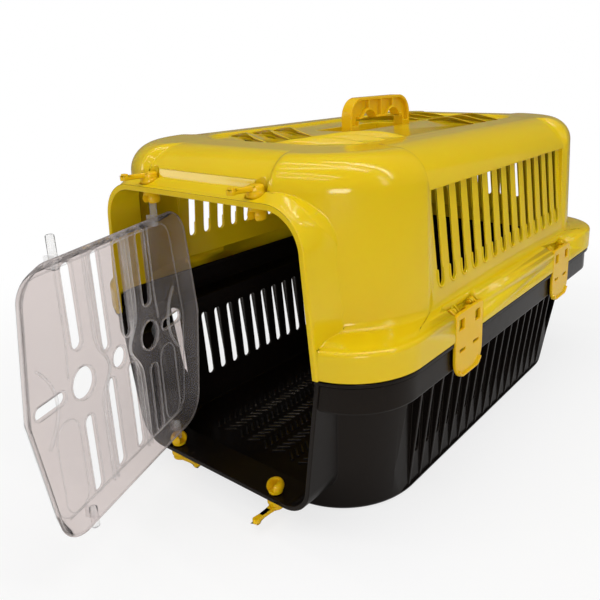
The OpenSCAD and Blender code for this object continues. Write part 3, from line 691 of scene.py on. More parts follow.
# The bars of the tread: the same black, a shade lighter and glossier. The glossier finish reflects the
# lamps; the lighter colour is a painted sheen for the shine the bars catch.
tread_sheen_pp = moulded_plastic("black polypropylene, lighter for painted sheen", ("#15110e", "#100d0a"), (0.16, 0.24),
                           12, 0.08, 0.8, 0.15,
                           {"IOR": 1.49, "Specular IOR Level": 0.5, "Specular Tint": (1.0, 0.9, 0.8, 1.0)})


def body_ring(inset, z):
    t = min(max(z / BAND_Z, 0), 1)
    length, width = BASE_L + (BODY_L - BASE_L) * t, BASE_W + (BODY_W - BASE_W) * t
    return rounded_ring(length / 2 - inset, width / 2 - inset, BASE_R + (BODY_R - BASE_R) * t - inset, z)


def band_ring(inset, z):
    return rounded_ring(BAND_L / 2 - inset, BAND_W / 2 - inset, BAND_R - inset, z)


def tub_way(grow, head_z):
    """The lower part of the doorway in X and Z: a rounded sill that widens up to the seam."""
    c_x, c_z, r = SILL_W / 2 - SILL_R, SILL_Z + SILL_R, SILL_R + grow
    p_x, p_z = DOOR_WAY_W / 2 + grow, SEAM_Z
    reach = math.hypot(p_x - c_x, p_z - c_z)
    touch = math.degrees(math.atan2(p_z - c_z, p_x - c_x) - math.acos(r / reach))
    right = arc(c_x, c_z, r, -90, touch, 10) + [(p_x, p_z), (p_x, head_z)]
    return right + [(-x, z) for x, z in reversed(right)]


def panel_wedge(name, inset, half_l, foot_z, head_z):
    """Everything outside a side panel's plane, from foot to head."""
    lean = (PANEL_TOP_W - PANEL_BASE_W) / 2 / BAND_Z
    face = PANEL_BASE_W / 2 - inset
    return prism(name, [(face + lean * foot_z, foot_z), (FLANGE_W, foot_z), (FLANGE_W, head_z),
                        (face + lean * head_z, head_z)], "y", -half_l, half_l, black_pp)


def make_tub():
    foot_r = 5
    rings = []
    for i in range(7):
        a = math.radians(i * 15)
        inset = foot_r * (1 - math.sin(a))
        rings.append(body_ring(inset, foot_r * (1 - math.cos(a))))
    rings += [body_ring(0, z) for z in (30, 60, 90, 114, BAND_Z - 1)]
    rings += [body_ring(-0.8, BAND_Z), band_ring(1, BAND_Z + 0.1), band_ring(0.2, BAND_Z + 0.8)]
    rings += [band_ring(0, BAND_Z + 2), band_ring(0, RIM_Z - 0.6), band_ring(0.6, RIM_Z)]
    tub = loft("tub", rings, black_pp)
    cut_both_sides(tub, panel_wedge("panel", 0, PANEL_L / 2, 5, BAND_Z))
    section = ((0, 141.7), (2.6, 141.7), (3, 142.2), (3, 145.2), (2.6, 145.7), (0, 145.7))
    bead = loft("bead", [band_ring(-grow, z) for grow, z in section], black_pp)
    for sx in (-1, 1):
        for clip_y in CLIP_YS:
            gap_xs = sorted((sx * (BAND_W / 2), sx * 180))
            gap_ys = (clip_y - NOTCH_W / 2, clip_y + NOTCH_W / 2)
            boolean(bead, "DIFFERENCE", box("bead gap", gap_xs, gap_ys, (140, 147), black_pp))
    boolean(tub, "UNION", bead)
    boolean(tub, "UNION", prism("door frame", tub_way(SILL_T, SEAM_Z - 0.6), "y", -248, -205, black_pp))
    rings = [body_ring(WALL + 4, WALL), body_ring(WALL + 1, WALL + 1.4), body_ring(WALL, WALL + 4)]
    rings += [body_ring(WALL, z) for z in (40, 80, 119)]
    rings += [band_ring(WALL + 1, 122), band_ring(WALL, 124), band_ring(WALL, 200)]
    hollow = loft("tub hollow", rings, black_pp)
    cut_both_sides(hollow, panel_wedge("panel back", WALL, PANEL_L / 2 - WALL, -1, 125))
    boolean(tub, "DIFFERENCE", hollow)
    boolean(tub, "DIFFERENCE", prism("doorway", tub_way(0, SEAM_Z + 60), "y", -252, -204, black_pp))
    slot = arc(0, 103, TUB_VENT_R, 0, 180, 8) + arc(0, 39, TUB_VENT_R, 180, 360, 8)
    vent = prism("tub vent", slot, "x", 110, 170, black_pp)
    first = (0, -TUB_PITCH * (TUB_VENTS - 1) / 2, 0)
    cut_both_sides(tub, row(vent, TUB_VENTS, first, (0, TUB_PITCH, 0), black_pp))
    for s in (-1, 1):
        boolean(tub, "DIFFERENCE", prism("latch bore", circle(s * PIN_X, PIN_Y, 4.2), "z", 18, 26, black_pp))
    return round_edges(tub, 0.6, sharp=lambda p: abs(p.x) > 160 and near_clip(p.y) and p.z > 135)


def rib_row():
    """Upright ribs between the side vents, from the foot out to the ledge."""
    rib = prism("rib", [(131.5, 4.5), (133.5, 4.5), (149, 119.5), (138, 119.5)], "y", -1.7, 1.7, black_pp)
    first = (0, -TUB_PITCH * TUB_VENTS / 2, 0)
    rib = row(round_edges(rib, 0.7), TUB_VENTS + 1, first, (0, TUB_PITCH, 0), black_pp)
    return [mirrored(rib), rib]


def floor_tread():
    """Slanting bars in rows that change direction: the tread of the floor."""
    rows = []
    for lane in range(11):
        turn = math.radians(40 if lane % 2 else -40)
        bar = box("tread bar", (-6.5, 6.5), (-1.5, 1.5), (2.6, 4.5), black_pp)
        round_edges(bar, 0.5, segments=1)
        bar.data.transform(Matrix.Rotation(turn, 4, "Z"))
        # the bars take the lighter black, a painted sheen
        bars = row(bar, 46, ((lane - 5) * 17, -172, 0), (0, 7.6, 0), tread_sheen_pp)
        bars.data.polygons.foreach_set("material_index", [1] * len(bars.data.polygons))
        rows.append(bars)
    return rows


tub = joined("shell_tub", [make_tub()] + rib_row() + floor_tread())
tub.data.materials.append(tread_sheen_pp)
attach(tub, "shell")
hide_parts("tub")


# ---- Door ----
# One clear polystyrene moulding: a flat panel with slots and holes, inside a wall that leans out to a
# rim. Every opening has a raised lip, and wavy double ribs run from top to bottom. Round pins at its
# corners turn in the rings of the latches. It stands open.

DOOR_Z0, DOOR_Z1, HOLE_Z = 38, 244.5, 141.5
DOOR_OPEN = 68
PANEL_OUT, DOOR_T, RIM_D, DOOR_SLOPE = 8, 2.4, 13, 9


def clear_plastic(name, tint, haze_colour, haze, rough):
    """Clear moulded polystyrene: it lets light through with a faint tint, shines, and carries some haze."""
    material = bpy.data.materials.new(name)
    material.use_nodes = True
    tree = material.node_tree
    tree.nodes.clear()
    place = add_node(tree, "ShaderNodeTexCoord").outputs["Object"]
    flow = add_node(tree, "ShaderNodeTexNoise", {"Vector": place, "Scale": 1 / (45 * MM), "Detail": 3.0})
    bump = add_node(tree, "ShaderNodeBump", {"Height": flow.outputs["Fac"], "Strength": 0.3,
                                             "Distance": 1 * MM})
    through = add_node(tree, "ShaderNodeBsdfTransparent", {"Color": linear(tint)})
    milky = add_node(tree, "ShaderNodeBsdfDiffuse", {"Color": linear(haze_colour),
                                                     "Normal": bump.outputs["Normal"]})
    lit = add_node(tree, "ShaderNodeBsdfTranslucent", {"Color": linear(haze_colour)})
    cloud = add_node(tree, "ShaderNodeMixShader", {0: 0.5, 1: milky.outputs[0], 2: lit.outputs[0]})
    amount = add_node(tree, "ShaderNodeMapRange", {"Value": flow.outputs["Fac"], "From Min": 0.3,
                                                   "From Max": 0.7, "To Min": haze * 0.6,
                                                   "To Max": haze * 1.4})
    body = add_node(tree, "ShaderNodeMixShader", {0: amount.outputs["Result"], 1: through.outputs[0],
                                                  2: cloud.outputs[0]})
    gloss = add_node(tree, "ShaderNodeBsdfGlossy", {"Color": (1, 1, 1, 1), "Roughness": rough,
                                                    "Normal": bump.outputs["Normal"]})
    edge_on = add_node(tree, "ShaderNodeFresnel", {"IOR": 1.12, "Normal": bump.outputs["Normal"]})
    surface = add_node(tree, "ShaderNodeMixShader", {0: edge_on.outputs[0], 1: body.outputs[0],
                                                     2: gloss.outputs[0]})
    add_node(tree, "ShaderNodeOutputMaterial", {"Surface": surface.outputs[0]})
    return material


clear_ps = clear_plastic("clear polystyrene, moulded", "#efe9e7", "#f4f1f4", 0.11, 0.06)
# The door's lips, ribs, rim and pins get more white haze than the panel: a painted highlight for the light
# their edges catch.
edge_highlight_ps = clear_plastic("clear polystyrene, edges whiter for painted highlight", "#ffffff", "#ffffff", 0.2, 0.12)


def door_outline(inset):
    """Rounded outline of the door, a little wider at half height, by its outward directions."""
    discs = [(-74.5, 216.5, 28), (74.5, 216.5, 28), (-72.5, 66, 28), (72.5, 66, 28), (-97.5, HOLE_Z, 15),
             (97.5, HOLE_Z, 15)]
    outline = []
    for i in range(180):
        a = math.radians(i * 2)
        nx, nz = math.cos(a), math.sin(a)
        x, z, r = max(discs, key=lambda d: d[0] * nx + d[1] * nz + d[2])
        outline.append((x + (r - inset) * nx, z + (r - inset) * nz))
    return outline


def door_dish():
    """The panel, the wall that leans out and the rim with its rounded lip, as one closed skin."""
    back = RIM_D - PANEL_OUT
    slope = DOOR_SLOPE
    outside = [(slope + 1.4, -PANEL_OUT), (slope + 0.4, -PANEL_OUT + 0.5), (slope * 0.75, -5),
               (slope * 0.5, -2), (slope * 0.25, 1.2), (0.8, back - 1.4), (0.2, back - 1.2),
               (0, back - 0.6), (0.3, back - 0.1)]
    inside = [(0.9, back), (2.2, back), (2.6, back - 0.4), (slope * 0.25 + 2.2, 1.2),
              (slope * 0.5 + 2.2, -2), (slope + 1.9, -5.2), (slope + 3.0, -5.6)]
    rings = [[(x, y, z) for x, z in door_outline(inset)] for inset, y in outside + inside]
    return loft("door dish", rings, clear_ps)


def stadium(cx, cz, width, height):
    """Outline of a slot: two half circles joined by straight sides; wide slots lie down."""
    if height >= width:
        r = width / 2
        return arc(cx, cz + height / 2 - r, r, 0, 180, 10) + arc(cx, cz - height / 2 + r, r, 180, 360, 10)
    r = height / 2
    return arc(cx + width / 2 - r, cz, r, -90, 90, 10) + arc(cx - width / 2 + r, cz, r, 90, 270, 10)


def swerve(x, z):
    """A rib that swerves inwards between the holes."""
    return x - (x - 14) * math.exp(-((z - HOLE_Z) / 15) ** 2)


def door_openings():
    shapes = [circle(0, HOLE_Z, 8.3)]
    for s in (-1, 1):
        shapes += [stadium(s * 45.5, 202, 11, 66), stadium(s * 14, 194.5, 9, 81),
                   stadium(s * 44.5, 82, 9.5, 64), stadium(s * 14, 91, 9, 77),
                   circle(s * 44.5, HOLE_Z, 12), stadium(s * 80, HOLE_Z, 30, 8.5)]
    return shapes


def on_panel(u, v, h):
    """A place on the inner face of the panel, h above it."""
    return (u, -PANEL_OUT + DOOR_T + h, v)


def grow_outline(outline, amount):
    """Moves an outline outwards by the given distance."""
    count = len(outline)
    cx = sum(p[0] for p in outline) / count
    cz = sum(p[1] for p in outline) / count
    out = []
    for i, (x, z) in enumerate(outline):
        ax, az = outline[i - 1]
        bx, bz = outline[(i + 1) % count]
        nx, nz = bz - az, -(bx - ax)
        if nx * (x - cx) + nz * (z - cz) < 0:
            nx, nz = -nx, -nz
        length = math.hypot(nx, nz) or 1
        out.append((x + nx / length * amount, z + nz / length * amount))
    return out


def door_line(name, path, width, height, closed=False):
    """A thin raised line on the inner face of the panel."""
    return strip(name, path, width, -0.5, height, on_panel, edge_highlight_ps, closed)


def door_pin(side, z0, z1):
    """A round pin on one corner of the door, and the web that ties it to the rim."""
    x = side * PIN_X
    rings = []
    for r, z in ((2.2, z0), (3, z0 + 0.8), (3, z1 - 0.8), (2.2, z1)):
        rings.append([(x + r * math.cos(math.radians(t * 15)), r * math.sin(math.radians(t * 15)), z)
                      for t in range(24)])
    inside = (max(z0, DOOR_Z0 + 0.5), min(z1, DOOR_Z1 - 0.5))
    web = box("pin web", (x - 1.3, x + 1.3), (-7, 0), inside, edge_highlight_ps)
    return [loft("pin", rings, edge_highlight_ps), round_edges(web, 0.3)]


def make_door():
    dish = door_dish()
    parts = []
    for shape in door_openings():
        parts.append(door_line("opening lip", grow_outline(shape, 1.1), 1.3, 0.8, closed=True))
        boolean(dish, "DIFFERENCE", prism("opening", shape, "y", -12, 8, clear_ps))
    round_edges(dish, 0.3)
    heights = [46 + 191 * i / 60 for i in range(61)]
    for s in (-1, 1):
        for x in (22.6, 27.4):
            parts.append(door_line("wavy rib", [(s * swerve(x, z), z) for z in heights], 1.5, 1.8))
        top_line = [(s * (57 + 4 * ease((190 - z) / 60)), z) for z in [152 + 84 * i / 20 for i in range(21)]]
        parts.append(door_line("upper rib", top_line, 1.1, 0.8))
        grip = [(s * (88 - 14 * math.cos(math.radians(a)) ** 2), HOLE_Z + 30 * math.sin(math.radians(a)))
                for a in range(-90, 91, 9)]
        parts.append(door_line("finger grip", grip, 1.8, 1.8))
        parts.append(door_line("corner panel", stadium(s * 68, 86, 24, 74), 1.1, 0.6, closed=True))
    # the rounded rim and the corner where the panel turns into the wall get the whiter edge plastic, a
    # painted highlight for the light they catch
    parts.append(strip("rim bead", door_outline(1.3), 1.7, -0.8, 0.3,
                       lambda u, v, h: (u, RIM_D - PANEL_OUT - 0.3 + h, v), edge_highlight_ps, closed=True))
    parts.append(strip("panel corner", door_outline(DOOR_SLOPE + 2.2), 1.3, -0.6, 0.5, on_panel, edge_highlight_ps,
                       closed=True))
    parts.append(door_line("foot rib", [(x, 50) for x in range(-80, 81, 4)], 1.2, 1.2))
    for s in (-1, 1):
        parts += door_pin(s, DOOR_Z1 - 10, 259) + door_pin(s, 30.5, DOOR_Z0 + 10)
    trim = joined("door trim", parts)
    work = bmesh.new()
    work.from_mesh(dish.data)
    body_faces = len(work.faces)
    work.from_mesh(trim.data)
    work.faces.ensure_lookup_table()
    for face in work.faces[body_faces:]:
        face.material_index = 1
    mesh = bpy.data.meshes.new("door")
    work.to_mesh(mesh)
    work.free()
    mesh.materials.append(clear_ps)
    mesh.materials.append(edge_highlight_ps)
    discard(dish, trim)
    made = bpy.data.objects.new("door_clear", mesh)
    bpy.context.scene.collection.objects.link(made)
    hinge = Matrix.Translation((-PIN_X * MM, PIN_Y * MM, 0))
    swing = Matrix.Rotation(math.radians(-DOOR_OPEN), 4, "Z")
    mesh.transform(hinge @ swing @ Matrix.Translation((PIN_X * MM, 0, 0)))
    mesh.shade_smooth()
    mesh.set_sharp_from_angle(angle=math.radians(50))
    return made


door = make_door()
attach(door, "door")
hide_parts("door")


# ---- Turn latches ----
# Four latches in a warmer yellow polypropylene, two over and two under the doorway. Each is a knob with
# a lever, whose shaft passes through the lip, and a hook with an open ring, pressed on the shaft's end.
# Turning the lever by a quarter turn lets the door's pin out of the ring.

KNOB_D, SHAFT_D, RING_D, RING_H, CAP_T, SPIGOT_D = 15, 8, 15, 7, 3.4, 5
LEVER_L, LEVER_W = 27, 6

# The small fittings come from another mould and another batch, a little deeper than the shell.
fitting_pp = moulded_plastic("deep yellow polypropylene, polished mould", ("#deb411", "#d8aa0c"),
                             (0.12, 0.20), 6, 0.06, 0.7, 0.08,
                             {"IOR": 1.49, "Specular IOR Level": 0.2, "Subsurface Weight": 0.35,
                              "Subsurface Scale": 2 * MM, "Subsurface Radius": (1.0, 0.5, 0.1)})


def turned(name, profile, steps=36):
    """A round part about Z from its profile of radius and height."""
    turns = [2 * math.pi * i / steps for i in range(steps)]
    rings = [[(r * math.cos(t), r * math.sin(t), z) for t in turns] for r, z in profile]
    return loft(name, rings, fitting_pp)


def make_knob(shelf_t):
    """Shaft, knob and lever of a lower latch; the sill's top is at height 0."""
    shaft_r, spigot_r, knob_r, half_w = SHAFT_D / 2, SPIGOT_D / 2, KNOB_D / 2, LEVER_W / 2
    shaft = turned("shaft", [(shaft_r - 0.4, -shelf_t - 2), (shaft_r, -shelf_t - 1.6), (shaft_r, 0.0),
                             (spigot_r, 0.3), (spigot_r, CAP_T - 0.8), (spigot_r - 0.4, CAP_T - 0.4)])
    base = -shelf_t - 0.3
    body = turned("knob", [(knob_r - 1.4, base), (knob_r, base - 1), (knob_r, base - 4.2),
                           (knob_r - 0.8, base - 5.6), (knob_r - 2, base - 6.2)])
    reach = LEVER_L - half_w
    side = [(half_w + 0.6, 0), (half_w - 0.6, -10), (half_w - 1.1, -17), (half_w - 0.2, -reach + 1)]
    outline = side + arc(0, -reach, half_w, 0, -180, 12) + [(-x, y) for x, y in reversed(side)]
    lever = prism("lever", outline, "z", base - 9.7, base - 5.9, fitting_pp)
    groove = [(1.6, -9), (1.4, -18), (-1.4, -18), (-1.6, -9)]
    boolean(lever, "DIFFERENCE", prism("lever groove", groove, "z", base - 7.6, base - 5, fitting_pp))
    cap = turned("lever cap", [(knob_r - 1, base - 5.5), (knob_r - 1, base - 8.6),
                               (knob_r - 2.2, base - 9.8)])
    thumb = box("thumb rib", (-2.6, 2.6), (-reach - 1, -reach + 2.6), (base - 11.2, base - 9), fitting_pp)
    knob = boolean(shaft, "UNION", body, cap, lever, thumb)
    return round_edges(knob, 0.45)


def make_hook():
    """Cap and open ring of a lower latch; the sill's top is at height 0."""
    gap, ring_r = 3.4, RING_D / 2
    ring_z, top = 0.3 + CAP_T, 0.3 + CAP_T + RING_H
    hook = turned("hook", [(ring_r - 2.6, 0.3), (ring_r - 1.6, 0.9), (ring_r - 1.2, CAP_T - 0.6),
                           (ring_r - 0.5, CAP_T + 1), (ring_r, CAP_T + RING_H * 0.5),
                           (ring_r - 0.5, top - 1.6), (ring_r - 1.4, top - 0.3), (ring_r - 2.0, top)])
    socket = prism("socket", circle(0, 0, SPIGOT_D / 2 + 0.02), "z", -1, CAP_T - 0.4, fitting_pp)
    bore = prism("ring bore", circle(0, 0, gap), "z", ring_z, top + 1, fitting_pp)
    mouth = box("ring mouth", (-gap, gap), (-RING_D, 0), (ring_z, top + 1), fitting_pp)
    boolean(hook, "DIFFERENCE", socket, bore, mouth)
    # the ring's end keeps its corners: its arms are too thin there for a second radius
    return round_edges(hook, 0.25, sharp=lambda p: p.z > top - 0.1)


def place_latch(obj, name, side, upper, turn, body):
    spot = Matrix.Translation((side * PIN_X * MM, PIN_Y * MM, (DOOR_WAY_Z if upper else SILL_Z) * MM))
    move = spot @ Matrix.Rotation(math.radians(turn), 4, "Z")
    if upper:
        move = move @ Matrix.Scale(-1, 4, (0, 0, 1))
    obj.data.transform(move)
    if upper:
        obj.data.flip_normals()
    obj.name = name
    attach(obj, body)
    return obj


for level in ("top", "bottom"):
    for hand in ("left", "right"):
        upper = level == "top"
        # the lower left latch stands open, a quarter turn from the others
        turn = 90 if (level, hand) == ("bottom", "left") else 0
        side = -1 if hand == "left" else 1
        body = "latch_" + level + "_" + hand
        lip_t = ARCH_LIP if upper else SILL_T
        knob = place_latch(make_knob(lip_t), "latch_knob_" + level + "_" + hand, side, upper, turn, body)
        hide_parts("knob_" + level + "_" + hand)
        hook = place_latch(make_hook(), "latch_hook_" + level + "_" + hand, side, upper, turn, body)
        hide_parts("hook_" + level + "_" + hand)


# ---- Clips ----
# Four polypropylene clips hold the halves together. Each hangs on a pin in a notch of the flange, and
# its hook snaps in under the tub's band. Its face has two windows and two slits where the mould's cores
# shut through, and a lip curls outwards at its foot.

CLIP_W, CLIP_T, CLIP_FACE_X, CLIP_FOOT_Z = 48, 3, 171.3, 112.5


def clip_outline():
    """Face of a clip in Y and Z: straight sides, then large rounded chamfers to the foot."""
    half, foot, top = CLIP_W / 2, CLIP_FOOT_Z, CLIP_PIN_Z + 1.4
    right = [(half - 11, foot), (half - 8.6, foot + 0.7), (half - 6, foot + 2.6), (half - 3.4, foot + 5.6),
             (half - 1.5, foot + 9), (half - 0.4, foot + 12.6), (half, foot + 17), (half, top - 3.4),
             (half - 1, top - 1), (half - 3.4, top)]
    return right + [(-y, z) for y, z in reversed(right)]


def foot_lip():
    """The rounded lip that follows the foot of a clip and curls outwards."""
    edge = [p for p in clip_outline() if p[1] < CLIP_FOOT_Z + 8]
    path = sorted((y * 0.93, z + 1.3) for y, z in edge)
    return strip("finger lip", path, 2.6, -0.5, 1.9, lambda u, v, h: (CLIP_FACE_X + h, u, v), fitting_pp)


def make_clip():
    back = CLIP_FACE_X - CLIP_T
    plate = prism("clip plate", clip_outline(), "x", back, CLIP_FACE_X, fitting_pp)
    for s in (-1, 1):
        window = box("window", (160, 180), (s * 14 - 4.5, s * 14 + 4.5), (154.5, 163.5), fitting_pp)
        slit = box("slit", (160, 180), (s * 12 - 5, s * 12 + 5), (134.8, 137.2), fitting_pp)
        boolean(plate, "DIFFERENCE", window, slit)
    parts = [round_edges(plate, 0.7, segments=3)]
    # two arms behind the plate, each with a short pin that turns in an ear of the notch
    for s in (-1, 1):
        y0, y1 = sorted((s * 17, s * 20))
        arm = prism("clip arm", arc(CLIP_PIN_X, CLIP_PIN_Z, 3.3, 90, 270, 10) +
                    [(back + 1, CLIP_PIN_Z - 3.3), (back + 1, CLIP_PIN_Z - 0.6), (back - 2, CLIP_PIN_Z + 1)],
                    "y", y0, y1, fitting_pp)
        y0, y1 = sorted((s * 12.5, s * 19.5))
        pin = prism("clip pin", circle(CLIP_PIN_X, CLIP_PIN_Z, 2, 20), "y", y0, y1, fitting_pp)
        parts += [round_edges(arm, 0.4), round_edges(pin, 0.3)]
    # a curved spring tab behind the middle of the plate, which presses on the notch's floor
    bend = arc(back - 1, CLIP_PIN_Z - 6, 6.6, 80, 190, 10) + arc(back - 1, CLIP_PIN_Z - 6, 5, 190, 80, 10)
    parts.append(round_edges(prism("spring tab", bend, "y", 1, 8, fitting_pp), 0.4))
    nose = [(164.2, CLIP_FOOT_Z + 2), (170, CLIP_FOOT_Z + 0.2), (170, 118.7), (164.2, 118.7)]
    parts.append(round_edges(prism("clip hook", nose, "y", -10, 10, fitting_pp), 0.4))
    parts.append(foot_lip())
    return joined("clip", parts)


for hand, sx in (("right", 1), ("left", -1)):
    for end, clip_y in zip(("front", "rear"), CLIP_YS):
        clip = make_clip()
        clip.data.transform(Matrix.Translation((0, clip_y * MM, 0)))
        if sx < 0:
            clip.data.transform(Matrix.Scale(-1, 4, (1, 0, 0)))
            clip.data.flip_normals()
        clip.name = "clip_" + hand + "_" + end + "_moulded"
        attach(clip, "clip_" + hand + "_" + end)
        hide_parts("clip_" + hand + "_" + end)


# ---- Handle ----
# A polypropylene handle that stands up from the roof and folds down into its pocket. It is cored out
# on both faces to save plastic, with ribs between the pockets, and its grip has two arches.

HANDLE_L, HANDLE_H, HANDLE_T, LEG_W, HANDLE_R = 108, 37, 12, 14, 20


def finger_arches(y):
    """Height of the grip's scalloped underside."""
    best = HANDLE_H - 21
    for centre in (-21.6, 21.6):
        if abs(y - centre) < 13:
            best = max(best, HANDLE_H - 26 + math.sqrt(169 - (y - centre) ** 2))
    return best


def handle_outline():
    half = HANDLE_L / 2
    inner = half - LEG_W
    over = [(half, 0)] + arc(half - HANDLE_R, HANDLE_H - HANDLE_R, HANDLE_R, 0, 90, 14)
    over += arc(-half + HANDLE_R, HANDLE_H - HANDLE_R, HANDLE_R, 90, 180, 14) + [(-half, 0)]
    under = [(-inner, 0)] + [(y, finger_arches(y)) for y in [-inner + 2 * inner * i / 60 for i in range(61)]]
    return over + under + [(inner, 0)]


def handle_top(y, inset):
    """Height of the handle's outer edge, drawn in by inset."""
    edge = abs(y) - (HANDLE_L / 2 - HANDLE_R)
    if edge <= 0:
        return HANDLE_H - inset
    return HANDLE_H - HANDLE_R + math.sqrt(max((HANDLE_R - inset) ** 2 - edge ** 2, 0))


def make_handle():
    body = prism("handle", handle_outline(), "x", -HANDLE_T / 2, HANDLE_T / 2, fitting_pp)
    for s in (-1, 1):
        foot = prism("foot", circle(0, 0, HANDLE_T / 2), "y", *sorted((s * 40, s * 54)), fitting_pp)
        boolean(body, "UNION", foot)
    # bays between the ribs go through, and a web closes them in the middle of the thickness
    webs = []
    for start, stop in ((-50.5, -23), (-20.6, -1.2), (1.2, 20.6), (23, 50.5)):
        ys = [start + (stop - start) * i / 12 for i in range(13)]
        upper = [(y, handle_top(y, 3)) for y in ys]
        lower = [(y, finger_arches(y) + 2.4 if abs(y) < 40 else 10) for y in reversed(ys)]
        bay = prism("bay", upper + lower, "x", -8, 8, fitting_pp)
        boolean(body, "DIFFERENCE", bay)
        mid_y, mid_z = (start + stop) / 2, 22
        grown = [(mid_y + (y - mid_y) * 1.03, mid_z + (z - mid_z) * 1.03) for y, z in upper + lower]
        webs.append(round_edges(prism("web", grown, "x", -1.6, 1.6, fitting_pp), 0))
    round_edges(body, 0.6)
    pins = []
    for s in (-1, 1):
        pin = prism("hinge pin", circle(0, 0, 3, 24), "y", *sorted((s * 53, s * 57.8)), fitting_pp)
        pins.append(round_edges(pin, 0.4))
    made = joined("handle_grip", [body] + webs + pins)
    made.data.transform(Matrix.Translation((0, HANDLE_Y * MM, HINGE_Z * MM)))
    return made


handle = make_handle()
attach(handle, "handle")
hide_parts("handle")


# ---- Floor, light and camera ----
# A pale studio sweep without visible horizon. The key light stands low on the right, so that it also
# shines through the doorway; softer ones stand above and on the left. The camera stands a little above
# the carrier, in front and to its right.

def pale_paper():
    """White paper: it keeps the soft shadow under the carrier and is seen as plain white farther out.

    Its real tone gets greyer there, so that the shell doesn't mirror a bright wall."""
    material = bpy.data.materials.new("pale paper sweep")
    material.use_nodes = True
    tree = material.node_tree
    tree.nodes.clear()
    place = add_node(tree, "ShaderNodeTexCoord").outputs["Object"]
    reach = add_node(tree, "ShaderNodeVectorMath", {0: place}, operation="LENGTH")
    fade = add_node(tree, "ShaderNodeMapRange", {"Value": reach.outputs["Value"], "From Min": 0.35,
                                                 "From Max": 0.8, "To Min": 0.75, "To Max": 1.0},
                    interpolation_type="SMOOTHSTEP")
    far = add_node(tree, "ShaderNodeMapRange", {"Value": reach.outputs["Value"], "From Min": 0.6,
                                                "From Max": 1.4})
    tone = add_node(tree, "ShaderNodeMix", {"Factor": far.outputs["Result"], 6: linear("#ececec"),
                                            7: linear("#a8a8a8")}, data_type="RGBA")
    fibre = add_node(tree, "ShaderNodeTexNoise", {"Vector": place, "Scale": 1 / (4 * MM), "Detail": 3.0})
    bump = add_node(tree, "ShaderNodeBump", {"Height": fibre.outputs["Fac"], "Strength": 0.05,
                                             "Distance": 0.2 * MM})
    paper = add_node(tree, "ShaderNodeBsdfPrincipled", {"Base Color": tone.outputs[2], "Roughness": 0.9,
                                                        "Normal": bump.outputs["Normal"]})
    white = add_node(tree, "ShaderNodeEmission", {"Color": (1, 1, 1, 1), "Strength": 1.0})
    path = add_node(tree, "ShaderNodeLightPath")
    seen = add_node(tree, "ShaderNodeMath", {0: path.outputs["Is Camera Ray"],
                                             1: path.outputs["Is Transmission Ray"]}, operation="MAXIMUM")
    share = add_node(tree, "ShaderNodeMath", {0: seen.outputs[0], 1: fade.outputs["Result"]},
                     operation="MULTIPLY")
    blend = add_node(tree, "ShaderNodeMixShader", {0: share.outputs[0], 1: paper.outputs["BSDF"],
                                                   2: white.outputs["Emission"]})
    add_node(tree, "ShaderNodeOutputMaterial", {"Surface": blend.outputs["Shader"]})
    return material


profile = [(-6000, -20), (3400, -20), (4020, 600), (4020, 5000), (4000, 5000), (4000, 800)]
profile += [(u, v) for u, v in arc(3200, 800, 800, 0, -90, 12)][1:] + [(-6000, 0)]
sweep = prism("paper sweep", profile, "y", -7000, 7000, pale_paper())
sweep.data.transform(Matrix.Rotation(math.radians(127), 4, "Z"))
sweep.data.shade_smooth()
sweep.data.set_sharp_from_angle(angle=math.radians(50))

world = bpy.data.worlds.new("studio")
bpy.context.scene.world = world
world.use_nodes = True
world.node_tree.nodes.clear()
# the camera sees plain white; the light on the object is dimmer
seen = add_node(world.node_tree, "ShaderNodeLightPath").outputs["Is Camera Ray"]
level = add_node(world.node_tree, "ShaderNodeMapRange", {"Value": seen, "To Min": 0.38, "To Max": 1.0})
glow = add_node(world.node_tree, "ShaderNodeBackground", {"Color": (1, 1, 1, 1),
                                                          "Strength": level.outputs["Result"]})
add_node(world.node_tree, "ShaderNodeOutputWorld", {"Surface": glow.outputs["Background"]})


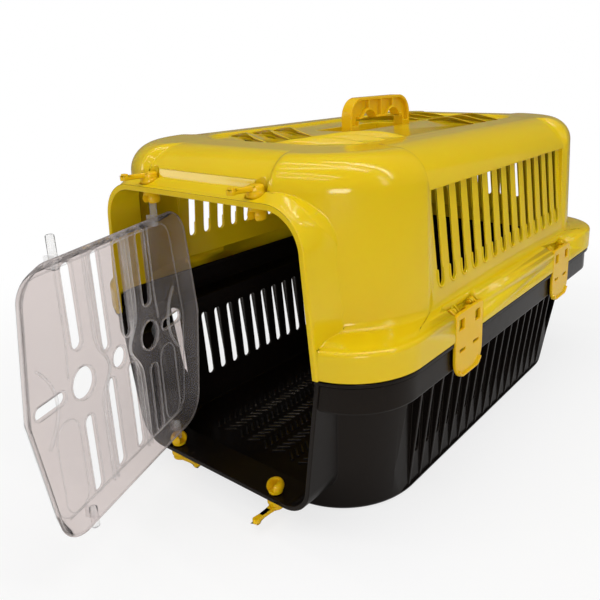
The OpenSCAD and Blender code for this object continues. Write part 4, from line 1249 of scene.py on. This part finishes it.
def soft_box(name, place, target, width, height, power):
    light = bpy.data.lights.new(name, "AREA")
    light.shape = "RECTANGLE"
    light.size = width
    light.size_y = height
    light.energy = power
    lamp = bpy.data.objects.new(name, light)
    bpy.context.scene.collection.objects.link(lamp)
    lamp.location = place
    lamp.rotation_euler = (Vector(target) - Vector(place)).to_track_quat("-Z", "Y").to_euler()
    return lamp


soft_box("overhead soft box", (0.2, -0.5, 2.2), (0, 0, 0.2), 2.2, 0.12, 6)
soft_box("key soft box", (1.8, -1.9, 0.4), (0, 0, 0.18), 0.8, 0.5, 16.5)
soft_box("left soft box", (-1.9, -1.6, 1.1), (0, -0.2, 0.15), 0.7, 0.7, 7)
soft_box("right soft box", (2.2, -0.2, 1.2), (0, 0, 0.15), 0.2, 1.2, 3)
# narrow tubes, whose long reflections run along the shoulders and the flange
for i, y in enumerate((-1.9, -1.3, -0.2)):
    soft_box("cross tube %d" % i, (0.1, y, 2.0), (0.1, y * 0.3, 0.2), 2.4, 0.04, 6)
for i, x in enumerate((0.7, 1.3)):
    soft_box("long tube %d" % i, (x, 0.2, 1.9), (x * 0.3, 0.2, 0.2), 0.04, 2.4, 6)

CAMERA = Vector((390.78, -560.44, 359.29)) * MM
AIM = Vector((-37.38, 0, 155.93)) * MM
ROLL = -0.0262
FOCAL_PX, CENTRE_PX, IMAGE_PX = 639.28, (350.23, 252.72), 600

ahead = (AIM - CAMERA).normalized()
across = ahead.cross(Vector((0, 0, 1))).normalized()
upward = across.cross(ahead)
right = math.cos(ROLL) * across + math.sin(ROLL) * upward
up = -math.sin(ROLL) * across + math.cos(ROLL) * upward
lens = bpy.data.cameras.new("camera")
lens.sensor_width = 36
lens.lens = FOCAL_PX / IMAGE_PX * 36
lens.shift_x = (IMAGE_PX / 2 - CENTRE_PX[0]) / IMAGE_PX
lens.shift_y = (CENTRE_PX[1] - IMAGE_PX / 2) / IMAGE_PX
lens.clip_start = 0.01
lens.clip_end = 50
camera = bpy.data.objects.new("camera", lens)
bpy.context.scene.collection.objects.link(camera)
camera.matrix_world = Matrix((
    (right.x, up.x, -ahead.x, CAMERA.x),
    (right.y, up.y, -ahead.y, CAMERA.y),
    (right.z, up.z, -ahead.z, CAMERA.z),
    (0, 0, 0, 1)))
bpy.context.scene.camera = camera
bpy.context.scene.view_settings.view_transform = "Standard"
